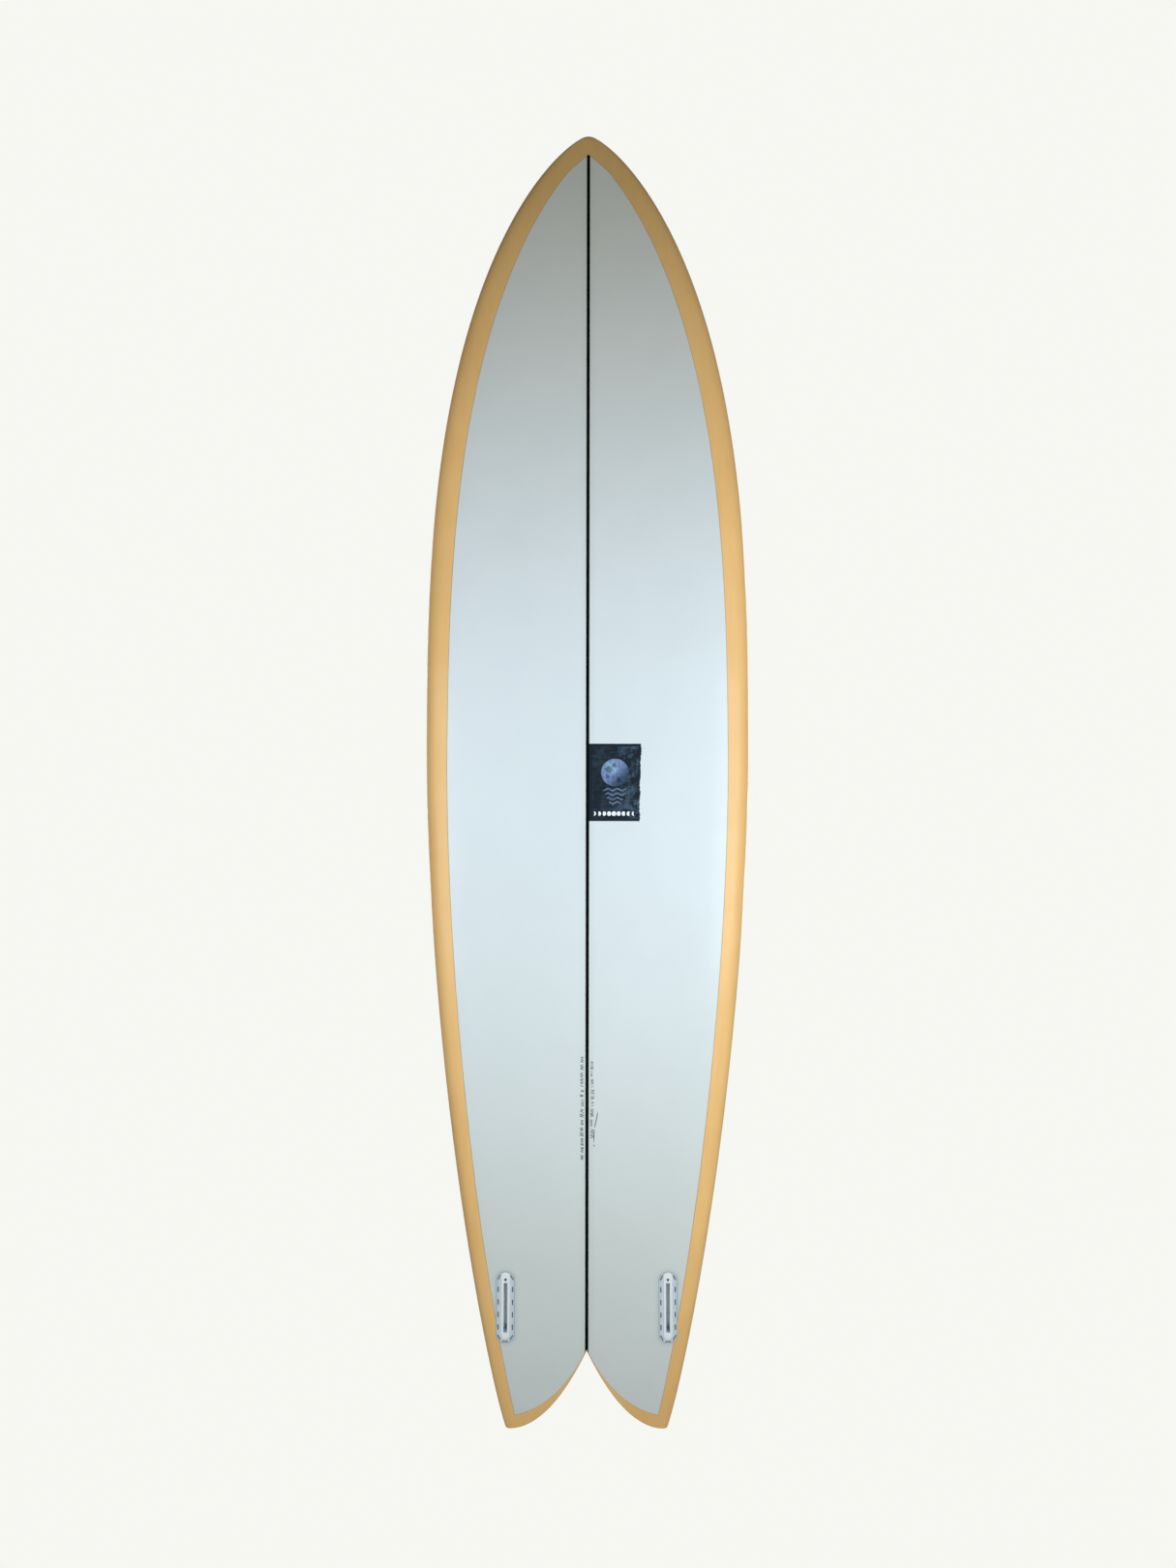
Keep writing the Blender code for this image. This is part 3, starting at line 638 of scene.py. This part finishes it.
def label(paper, ink, wave_ink, bright):
    """A dark paper label with a frayed edge, a moon over waves and a row of the moon's phases."""
    film("paper_label", [frayed_sheet()], 2, paper, "label")
    film("label_moon", [phase(MOON_U, MOON_V, MOON_RADIUS, -1, 1)], 3, ink)
    waves = ((-0.0120, 0.0210), (-0.0195, 0.0180), (-0.0270, 0.0145), (-0.0340, 0.0105))
    film("label_waves", [wave(MOON_U, v, reach, 0.0155, 0.0016, 0.0026) for v, reach in waves], 3, wave_ink)
    phases = []
    for n in range(PHASES):
        step = n - PHASES // 2
        full = 1 - abs(step) / (PHASES / 2)
        side = 1 if step <= 0 else -1
        bend = 0.55 - 1.55 * full**0.7
        phases.append(phase(PHASE_U + step * PHASE_PITCH, PHASE_V, PHASE_RADIUS, bend, side))
    film("label_moon_phases", phases, 3, bright)


def frayed_sheet():
    """The label's paper: straight beside the stringer, torn and slightly slanting on its other side."""
    draw = random.Random(5)
    rows = []
    for i in range(131):
        share = i / 130
        fray = draw.uniform(0, 0.0017) if draw.random() < 0.6 else draw.uniform(-0.0004, 0.0005)
        right = LABEL_WIDTH / 2 - fray - 0.0028 * (1 - share) + 0.0007 * math.sin(23 * share)
        v = LABEL_LENGTH * (share - 0.5)
        rows.append([(-LABEL_WIDTH / 2 + (right + LABEL_WIDTH / 2) * j / 12, v) for j in range(13)])
    return rows


def phase(u, v, radius, terminator, side):
    """One phase of the moon, from a thin crescent at a terminator near 1 to a full disc at -1."""
    rows = []
    for i in range(33):
        angle = math.pi * (i / 32 - 0.5)
        reach = radius * max(math.cos(angle), 0.02)
        near, far = sorted((side * terminator * reach, side * reach))
        rows.append([(u + near + (far - near) * j / 16, v + radius * math.sin(angle)) for j in range(17)])
    return rows


def wave(u, v, reach, length, height, width):
    """A ribbon along u that rises and falls, and thins to its ends."""
    rows = [[], []]
    count = 96
    for i in range(count + 1):
        along = -reach + 2 * reach * i / count
        middle = v + height * math.sin(math.tau * along / length)
        half = width / 2 * min(1, 0.15 + 4 * (1 - abs(along) / reach))
        rows[0].append((u + along, middle - half))
        rows[1].append((u + along, middle + half))
    return rows


def pencil_ticks(graphite):
    """A shaper's pencil ticks in groups down both sides of the stringer, and one long stroke beside them."""
    draw = random.Random(11)
    shape = bmesh.new()
    for side, low, high in ((-1, -0.093, 0.076), (1, -0.056, 0.072)):
        v = low
        while v < high:
            near, far = side * draw.uniform(0.0045, 0.0060), side * draw.uniform(0.0095, 0.0130)
            for _ in range(draw.randint(2, 4)):
                step = draw.uniform(0.0012, 0.0030)
                stroke(shape, (near, v), (far, v + step), draw.uniform(0.0009, 0.0013))
                if draw.random() < 0.7:
                    stroke(shape, (far, v + step), (near, v + 1.6 * step), draw.uniform(0.0008, 0.0011))
                v += 1.6 * step
            v += draw.uniform(0.0015, 0.0045)
    stroke(shape, (0.0185, -0.0090), (0.0125, -0.0400), 0.0015)
    stroke(shape, (0.0125, -0.0400), (0.0112, -0.0640), 0.0012)
    stroke(shape, (0.0112, -0.0670), (0.0128, -0.0700), 0.0019)
    drape(shape, surface_frame(0, PENCIL_Z, False))
    finish_piece("pencil_ticks", shape, [graphite], "board")


def stroke(shape, start, end, width):
    """One thin pencil line, as a film with pointed ends."""
    a, b = Vector(start), Vector(end)
    side = (b - a).orthogonal().normalized() * width / 2
    near, far = a.lerp(b, 0.2), a.lerp(b, 0.8)
    outline = [a, near + side, far + side, b, far - side, near - side]
    loft([[Vector((p.x, p.y, w)) for p in outline] for w in (0, FILM)], shape)


# ---------------------------------------------------------------- materials


class Finish:
    """A Principled material, with short ways to grow its nodes. Its patterns lie in the object's metres."""

    def __init__(self, name, roughness, specular=0.5, coat=0.0, metallic=0.0):
        self.made = bpy.data.materials.new(name)
        self.made.use_nodes = True
        self.tree = self.made.node_tree
        self.shader = self.tree.nodes["Principled BSDF"]
        self.set(self.shader, "Roughness", roughness)
        self.set(self.shader, "Specular IOR Level", specular)
        self.set(self.shader, "Coat Weight", coat)
        self.set(self.shader, "Coat Roughness", 0.12)
        self.set(self.shader, "Metallic", metallic)
        self.place = self.node("ShaderNodeTexCoord").outputs["Object"]

    def node(self, kind, **settings):
        made = self.tree.nodes.new(kind)
        for name, value in settings.items():
            setattr(made, name, value)
        return made

    def set(self, node, name, value):
        """Sets a node's input to a number, a colour or another node's output."""
        target = node.inputs[name]
        if isinstance(value, bpy.types.NodeSocket):
            self.tree.links.new(value, target)
        elif isinstance(value, tuple) and len(value) == 3 and target.type == "RGBA":
            target.default_value = (*value, 1)
        else:
            target.default_value = value

    def moved(self, location=(0, 0, 0), rotation=(0, 0, 0), scale=(1, 1, 1)):
        """The place, in a frame with this location and rotation, then stretched."""
        mapping = self.node("ShaderNodeMapping", vector_type="TEXTURE")
        self.set(mapping, "Vector", self.place)
        self.set(mapping, "Location", location)
        self.set(mapping, "Rotation", rotation)
        self.set(mapping, "Scale", scale)
        return mapping.outputs["Vector"]

    def noise(self, size, detail=2.0, stretch=(1, 1, 1), rough=0.5):
        """Soft noise, from 0 to 1, with features of a size in metres."""
        texture = self.node("ShaderNodeTexNoise")
        self.set(texture, "Vector", self.moved(scale=stretch))
        self.set(texture, "Scale", 1 / size)
        self.set(texture, "Detail", detail)
        self.set(texture, "Roughness", rough)
        return texture.outputs["Fac"]

    def threads(self, size, direction):
        """The threads of a cloth along one direction, from 0 to 1."""
        texture = self.node("ShaderNodeTexWave", bands_direction=direction)
        self.set(texture, "Vector", self.place)
        self.set(texture, "Scale", math.tau / 20 / size)
        self.set(texture, "Distortion", 0.6)
        return texture.outputs["Fac"]

    def spread(self, value, low, high, to_low=0.0, to_high=1.0):
        """Maps a value from one range to another, smoothly and no further."""
        node = self.node("ShaderNodeMapRange", interpolation_type="SMOOTHSTEP")
        self.set(node, "Value", value)
        for name, number in (("From Min", low), ("From Max", high), ("To Min", to_low), ("To Max", to_high)):
            self.set(node, name, number)
        return node.outputs["Result"]

    def maths(self, operation, a, b=0.0):
        node = self.node("ShaderNodeMath", operation=operation)
        for socket, value in zip(node.inputs, (a, b)):
            if isinstance(value, bpy.types.NodeSocket):
                self.tree.links.new(value, socket)
            else:
                socket.default_value = value
        return node.outputs["Value"]

    def axes(self, place=None):
        """The x, y and z of a place."""
        node = self.node("ShaderNodeSeparateXYZ")
        self.set(node, "Vector", place or self.place)
        return node.outputs["X"], node.outputs["Y"], node.outputs["Z"]

    def mix(self, share, low, high, blend="MIX"):
        node = self.node("ShaderNodeMix", data_type="RGBA", blend_type=blend)
        for socket, value in ((node.inputs[0], share), (node.inputs[6], low), (node.inputs[7], high)):
            if isinstance(value, bpy.types.NodeSocket):
                self.tree.links.new(value, socket)
            elif isinstance(value, tuple):
                socket.default_value = (*value, 1)
            else:
                socket.default_value = value
        return node.outputs[2]

    def darken(self, colour, share, tint):
        """A colour multiplied by a tint, as far as the share goes."""
        return self.mix(share, colour, tint, "MULTIPLY")

    def colour(self, value):
        self.set(self.shader, "Base Color", value)

    def rough(self, value, low, high):
        self.set(self.shader, "Roughness", self.spread(value, 0.25, 0.75, low, high))

    def bump(self, height, depth):
        """Relief of a depth in metres. A second call adds to the first."""
        node = self.node("ShaderNodeBump")
        self.set(node, "Height", height)
        self.set(node, "Distance", depth)
        before = self.shader.inputs["Normal"].links
        if before:
            self.set(node, "Normal", before[0].from_socket)
        self.set(self.shader, "Normal", node.outputs["Normal"])


def capsule_distance(finish, seat, length, width):
    """Distance from the long round-ended outline that lies along Y in a seat's frame."""
    place = finish.moved(seat.to_translation(), seat.to_euler())
    u, v, _ = finish.axes(place)
    past = finish.maths("SUBTRACT", finish.maths("ABSOLUTE", v), (length - width) / 2)
    past = finish.maths("MAXIMUM", past, 0)
    squares = finish.maths("POWER", u, 2), finish.maths("POWER", past, 2)
    far = finish.maths("SQRT", finish.maths("ADD", *squares))
    return finish.maths("SUBTRACT", far, width / 2)


def clear_glass():
    """White foam seen through clear glass: cool in the middle, with painted shade that makes it darker,
    greyer and warmer at the nose and darker at the tail, and greyer by every edge.
    """
    finish = Finish("clear_glass_over_foam", 0.42, 0.4, 0.1)
    x, _, z = finish.axes()
    # Painted shade: the foam's colour darkens towards the nose and towards the tail, where the light falls
    # off.
    colour = finish.mix(finish.spread(z, 0.12, 1.05), (0.78, 0.845, 0.895), (0.685, 0.695, 0.655))
    colour = finish.mix(finish.spread(z, -0.05, -0.90), colour, (0.725, 0.770, 0.755))
    clouds = finish.spread(finish.noise(0.32, 2, (1, 1, 1.6)), 0.35, 0.7, 0, 0.6)
    colour = finish.darken(colour, clouds, (0.955, 0.975, 0.965))
    patches = finish.spread(finish.noise(0.07, 3), 0.4, 0.75, 0, 0.5)
    colour = finish.darken(colour, patches, (0.97, 0.97, 0.98))
    specks = finish.spread(finish.noise(0.0015, 2), 0.5, 0.8, 0, 0.5)
    colour = finish.darken(colour, specks, (0.94, 0.94, 0.95))
    colour = finish.darken(colour, finish.maths("MULTIPLY", woven(finish), 0.25), (0.94, 0.94, 0.95))
    beside = finish.maths("ABSOLUTE", x)
    colour = finish.darken(colour, finish.spread(beside, 0.004, 0.016, 0.8, 0), (0.94, 0.955, 0.925))
    colour = finish.darken(colour, finish.spread(beside, STRINGER_HALF, 0.0050, 0.6, 0), (0.72, 0.74, 0.74))
    for side in (1, -1):
        far = capsule_distance(finish, box_seat(side), FLANGE_LENGTH, FLANGE_WIDTH)
        colour = finish.darken(colour, finish.spread(far, 0, 0.009, 0.5, 0), (0.80, 0.83, 0.85))
    finish.colour(colour)
    glass_surface(finish)
    return finish.made


def tinted_glass():
    """Tan resin tint: even from afar but for painted shade that darkens it towards the nose, with faint
    clouds, brush streaks along it and the cloth's weave.
    """
    finish = Finish("tan_resin_tint", 0.42, 0.4, 0.1)
    _, _, z = finish.axes()
    clouds = finish.spread(finish.noise(0.22, 3), 0.35, 0.7)
    colour = finish.mix(clouds, (0.96, 0.590, 0.235), (0.91, 0.550, 0.210))
    # Painted shade: the tint darkens towards the nose, where the light falls off.
    colour = finish.darken(colour, finish.spread(z, 0.55, 1.12), (0.80, 0.82, 0.80))
    streaks = finish.spread(finish.noise(0.012, 3, (1, 1, 14)), 0.4, 0.8, 0, 0.6)
    colour = finish.darken(colour, streaks, (0.95, 0.92, 0.86))
    colour = finish.darken(colour, finish.maths("MULTIPLY", woven(finish), 0.4), (0.90, 0.87, 0.80))
    finish.colour(colour)
    glass_surface(finish)
    return finish.made


def woven(finish):
    """The cloth's weave, from 0 to 1."""
    return finish.maths("MULTIPLY", finish.threads(0.0011, "X"), finish.threads(0.0011, "Z"))


def glass_surface(finish):
    """Sanded resin: a gloss that varies a little, slow waves and the cloth's print-through."""
    finish.rough(finish.noise(0.05, 3), 0.36, 0.48)
    finish.bump(finish.noise(0.09, 1), 0.0012)
    finish.bump(woven(finish), 0.000004)


def streaked(name, low, high, size, stretch, roughness, specular=0.5, metallic=0.0):
    """Two colours mixed by stretched noise, as in wood grain, brushed steel, foam or ink."""
    finish = Finish(name, roughness, specular, 0.0, metallic)
    grain = finish.noise(size, 4, stretch)
    finish.colour(finish.mix(finish.spread(grain, 0.3, 0.7), low, high))
    finish.rough(grain, roughness - 0.06, roughness + 0.06)
    return finish.made


def metal(name, low, high, roughness):
    """Steel with a fine even grain."""
    return streaked(name, low, high, 0.0008, (1, 1, 1), roughness, 0.5, 1.0)


def white_plastic():
    """White moulded plastic with a fine sanded grain."""
    finish = Finish("white_plug_plastic", 0.38, 0.4)
    finish.colour(plastic_grain(finish, (0.86, 0.88, 0.88), (0.80, 0.82, 0.82)))
    return finish.made


def plastic_grain(finish, pale, dull):
    """Gives a plastic its grain, and returns the colour that goes with it."""
    grain = finish.noise(0.0006, 3, (1, 1, 6))
    finish.rough(grain, 0.32, 0.46)
    finish.bump(grain, 0.00001)
    return finish.mix(finish.spread(grain, 0.35, 0.75), pale, dull)


def box_plastic(side):
    """Cool white plastic, bright at the rim, with painted shade down inside the slot that deepens towards
    both of the slot's ends.
    """
    finish = Finish(f"fin_box_plastic_and_slot_shade_{NAMES[side]}", 0.38, 0.4)
    colour = plastic_grain(finish, (0.93, 0.97, 1.0), (0.86, 0.91, 0.95))
    seat = box_seat(side)
    _, v, w = finish.axes(finish.moved(seat.to_translation(), seat.to_euler()))
    # Painted shade inside the slot: greyer below the rim, and darker still towards each end of the slot.
    inside = finish.mix(finish.spread(v, 0.044, 0.030), (0.74, 0.82, 0.87), (0.84, 0.90, 0.93))
    inside = finish.darken(inside, finish.spread(v, -0.034, -0.046), (0.60, 0.66, 0.70))
    finish.colour(finish.mix(finish.spread(w, -0.0002, -0.0014), colour, inside))
    return finish.made


def flange_plastic(side):
    """The box's flange seen through the glass: dull and bluish, paler by the rim, with a dark outline."""
    finish = Finish(f"flange_under_glass_{NAMES[side]}", 0.42, 0.4, 0.1)
    far = capsule_distance(finish, box_seat(side), FLANGE_LENGTH, FLANGE_WIDTH)
    colour = finish.mix(finish.spread(far, -0.008, -0.003), (0.72, 0.80, 0.87), (0.63, 0.72, 0.78))
    colour = finish.darken(colour, finish.spread(far, -0.0022, -0.0006, 0, 0.9), (0.62, 0.65, 0.68))
    clouds = finish.spread(finish.noise(0.006, 3), 0.4, 0.7, 0, 0.7)
    colour = finish.darken(colour, clouds, (0.90, 0.92, 0.93))
    finish.colour(colour)
    return finish.made


def label_paper():
    """Dark blue paper with a plain dark margin, and a worn pale mottle that grows to the frayed side."""
    finish = Finish("label_paper", 0.5, 0.15)
    u, v, _ = label_axes(finish)
    threads = finish.maths("ADD", finish.noise(0.0030, 3, (4, 1, 1)), finish.noise(0.0030, 3, (1, 1, 4)))
    worn = finish.spread(finish.maths("MULTIPLY", threads, finish.noise(0.014, 3)), 0.38, 0.74)
    worn = finish.maths("MULTIPLY", worn, finish.spread(u, -0.020, 0.038, 0.25, 1.0))
    for axis, half in ((u, LABEL_WIDTH / 2), (v, LABEL_LENGTH / 2)):
        margin = finish.spread(finish.maths("ABSOLUTE", axis), half - 0.0050, half - 0.0035, 1, 0)
        worn = finish.maths("MULTIPLY", worn, margin)
    finish.colour(finish.mix(worn, (0.0060, 0.0140, 0.0240), (0.060, 0.105, 0.165)))
    finish.bump(worn, 0.00003)
    return finish.made


def label_axes(finish):
    seat = surface_frame(LABEL_X, LABEL_Z, False)
    return finish.axes(finish.moved(seat.to_translation(), seat.to_euler()))


def moon_ink():
    """Pale blue ink: bright at the upper left of the moon, dark at its lower right, with soft round seas."""
    finish = Finish("label_moon_ink", 0.5, 0.15)
    u, v, _ = label_axes(finish)
    across = finish.maths("SUBTRACT", u, finish.maths("SUBTRACT", v, MOON_V))
    colour = finish.mix(finish.spread(across, 0.026, -0.010), (0.035, 0.075, 0.130), (0.200, 0.290, 0.520))
    glow = ball(finish, u, v, MOON_U - 0.006, MOON_V + 0.008, 0.013)
    colour = finish.mix(finish.maths("MULTIPLY", glow, 0.8), colour, (0.310, 0.500, 0.660))
    for du, dv, radius in MOON_SEAS:
        sea = ball(finish, u, v, MOON_U + du, MOON_V + dv, radius)
        colour = finish.darken(colour, finish.maths("MULTIPLY", sea, 0.8), (0.25, 0.27, 0.33))
    mottle = finish.spread(finish.noise(0.0045, 4), 0.45, 0.65)
    finish.colour(finish.darken(colour, mottle, (0.62, 0.66, 0.74)))
    return finish.made


def ball(finish, u, v, centre_u, centre_v, radius):
    """A soft-edged disc: 1 inside and 0 outside."""
    offsets = finish.maths("SUBTRACT", u, centre_u), finish.maths("SUBTRACT", v, centre_v)
    squares = [finish.maths("POWER", offset, 2) for offset in offsets]
    far = finish.maths("SQRT", finish.maths("ADD", *squares))
    return finish.spread(far, radius * 0.55, radius, 1, 0)


# ---------------------------------------------------------------- camera, light and ground


def camera():
    data = bpy.data.cameras.new("camera")
    data.lens = LENS
    made = bpy.data.objects.new("camera", data)
    bpy.context.scene.collection.objects.link(made)
    made.location = CAMERA_PLACE
    made.rotation_euler = (math.pi / 2, CAMERA_ROLL, 0)
    bpy.context.scene.camera = made


def softbox(name, place, size, power, colour):
    """A square light, unseen itself, that faces the middle of the board."""
    data = bpy.data.lights.new(name, "AREA")
    data.size = size
    data.energy = power
    data.color = colour
    made = bpy.data.objects.new(name, data)
    bpy.context.scene.collection.objects.link(made)
    made.location = place
    made.visible_camera = False
    aim = Vector((0, -THICKNESS, place[2])) - Vector(place)
    made.rotation_euler = aim.to_track_quat("-Z", "Y").to_euler()


def ground(colour, fill, fill_colour):
    """A pale world that the camera sees evenly, and that lights the board only softly."""
    world = bpy.data.worlds.new("world")
    bpy.context.scene.world = world
    world.use_nodes = True
    nodes, links = world.node_tree.nodes, world.node_tree.links
    seen = nodes["Background"]
    seen.inputs["Color"].default_value = (*colour, 1)
    unseen = nodes.new("ShaderNodeBackground")
    unseen.inputs["Color"].default_value = (*fill_colour, 1)
    unseen.inputs["Strength"].default_value = fill
    path = nodes.new("ShaderNodeLightPath")
    mix = nodes.new("ShaderNodeMixShader")
    links.new(path.outputs["Is Camera Ray"], mix.inputs[0])
    links.new(unseen.outputs[0], mix.inputs[1])
    links.new(seen.outputs[0], mix.inputs[2])
    links.new(mix.outputs[0], nodes["World Output"].inputs["Surface"])


def floor(colour):
    """A plain pale floor under the tail tips, as bright as the ground round it."""
    shape = bmesh.new()
    bmesh.ops.create_grid(shape, x_segments=1, y_segments=1, size=FLOOR_SIZE / 2)
    made = new_object("floor", new_mesh("floor", shape), [])
    made.location = (0, 0, TAIL_Z - FLOOR_GAP)
    finish = bpy.data.materials.new("pale_floor")
    finish.use_nodes = True
    nodes, links = finish.node_tree.nodes, finish.node_tree.links
    nodes.remove(nodes["Principled BSDF"])
    glow = nodes.new("ShaderNodeEmission")
    glow.inputs["Color"].default_value = (*colour, 1)
    links.new(glow.outputs[0], nodes["Material Output"].inputs["Surface"])
    made.data.materials.append(finish)
    made.visible_diffuse = made.visible_glossy = made.visible_shadow = False


def inner_pieces():
    """Procedural finishes for the CAD pieces that lie under the glass."""
    foam = streaked("white_foam", (0.84, 0.87, 0.86), (0.90, 0.92, 0.90), 0.0009, (1, 1, 1), 0.7, 0.3)
    glue = streaked("grey_glue", (0.38, 0.39, 0.39), (0.50, 0.51, 0.51), 0.004, (1, 1, 3), 0.45)
    grain = (0.008, 0.008, 0.009), (0.03, 0.028, 0.027)
    wood = streaked("black_stringer_wood", *grain, 0.003, (1, 1, 30), 0.5)
    resin = streaked("clear_resin", (0.50, 0.54, 0.55), (0.62, 0.65, 0.65), 0.008, (1, 1, 1), 0.2)
    for side in ("left", "right"):
        dress(f"foam_blank_{side}", foam)
        dress(f"glue_line_{side}", glue)
        dress(f"fin_box_resin_{side}", resin)
    dress("stringer", wood)
    dress("leash_plug_resin", resin)


def dress(node, finish):
    for slot in NODES[node].material_slots:
        slot.material = finish


def main():
    under = (0.0012, 0.0012, 0.0020), (0.005, 0.005, 0.007)
    black = streaked("black_stringer_under_glass", *under, 0.004, (1, 1, 40), 0.45, 0.02)
    line = streaked("cut_lap_edge", (0.42, 0.30, 0.17), (0.54, 0.40, 0.24), 0.02, (1, 1, 1), 0.45, 0.4)
    tinted = (0.030, 0.016, 0.006), (0.055, 0.030, 0.011)
    dark = streaked("stringer_under_tint", *tinted, 0.004, (1, 1, 40), 0.42, 0.4)
    skins(clear_glass(), black, tinted_glass(), line, dark)

    # Painted shade: the set screws' steel is drawn nearly black for the shade down in their bores.
    steel = metal("screw_steel_painted_bore_shade", (0.07, 0.075, 0.08), (0.13, 0.135, 0.14), 0.35)
    # The flange's perforations are real resin-filled slots; their dark colour is painted shade for the depth
    # of the slots under the glass.
    perforation_shade_tones = (0.11, 0.135, 0.14), (0.16, 0.185, 0.19)
    perforation_shade = streaked("resin_perforation_painted_shade", *perforation_shade_tones, 0.002, (1, 1, 1), 0.42, 0.4)
    for side in (1, -1):
        box, flange = box_plastic(side), flange_plastic(side)
        fin_box(side, {"box": box, "flange": flange, "perforation": perforation_shade, "steel": steel})
    bright_steel = metal("stainless_steel", (0.42, 0.42, 0.44), (0.6, 0.6, 0.62), 0.3)
    leash_plug(white_plastic(), bright_steel)

    bright = streaked("label_phase_ink", (0.78, 0.84, 0.86), (0.92, 0.96, 0.98), 0.0012, (1, 1, 1), 0.5, 0.2)
    blues = (0.085, 0.130, 0.230), (0.170, 0.240, 0.390)
    waves = streaked("label_wave_ink", *blues, 0.0030, (1, 1, 1), 0.5, 0.15)
    label(label_paper(), moon_ink(), waves, bright)
    pencil_ticks(streaked("graphite", (0.06, 0.075, 0.075), (0.18, 0.21, 0.21), 0.0012, (1, 1, 1), 0.5, 0.3))
    inner_pieces()

    camera()
    daylight = (0.90, 0.97, 1.0)
    softbox("key_right", (1.1, -1.45, -0.18), 1.2, 26.2, daylight)
    softbox("key_left", (-1.1, -1.45, -0.18), 1.2, 16, daylight)
    softbox("back_right", (1.2, 1.9, 0.2), 1.6, 30, daylight)
    softbox("back_left", (-1.2, 1.9, 0.2), 1.6, 20, daylight)
    ground(PALE, 0.10, (1.0, 0.92, 0.75))
    floor(PALE)
    bpy.context.scene.view_settings.view_transform = "Standard"


main()
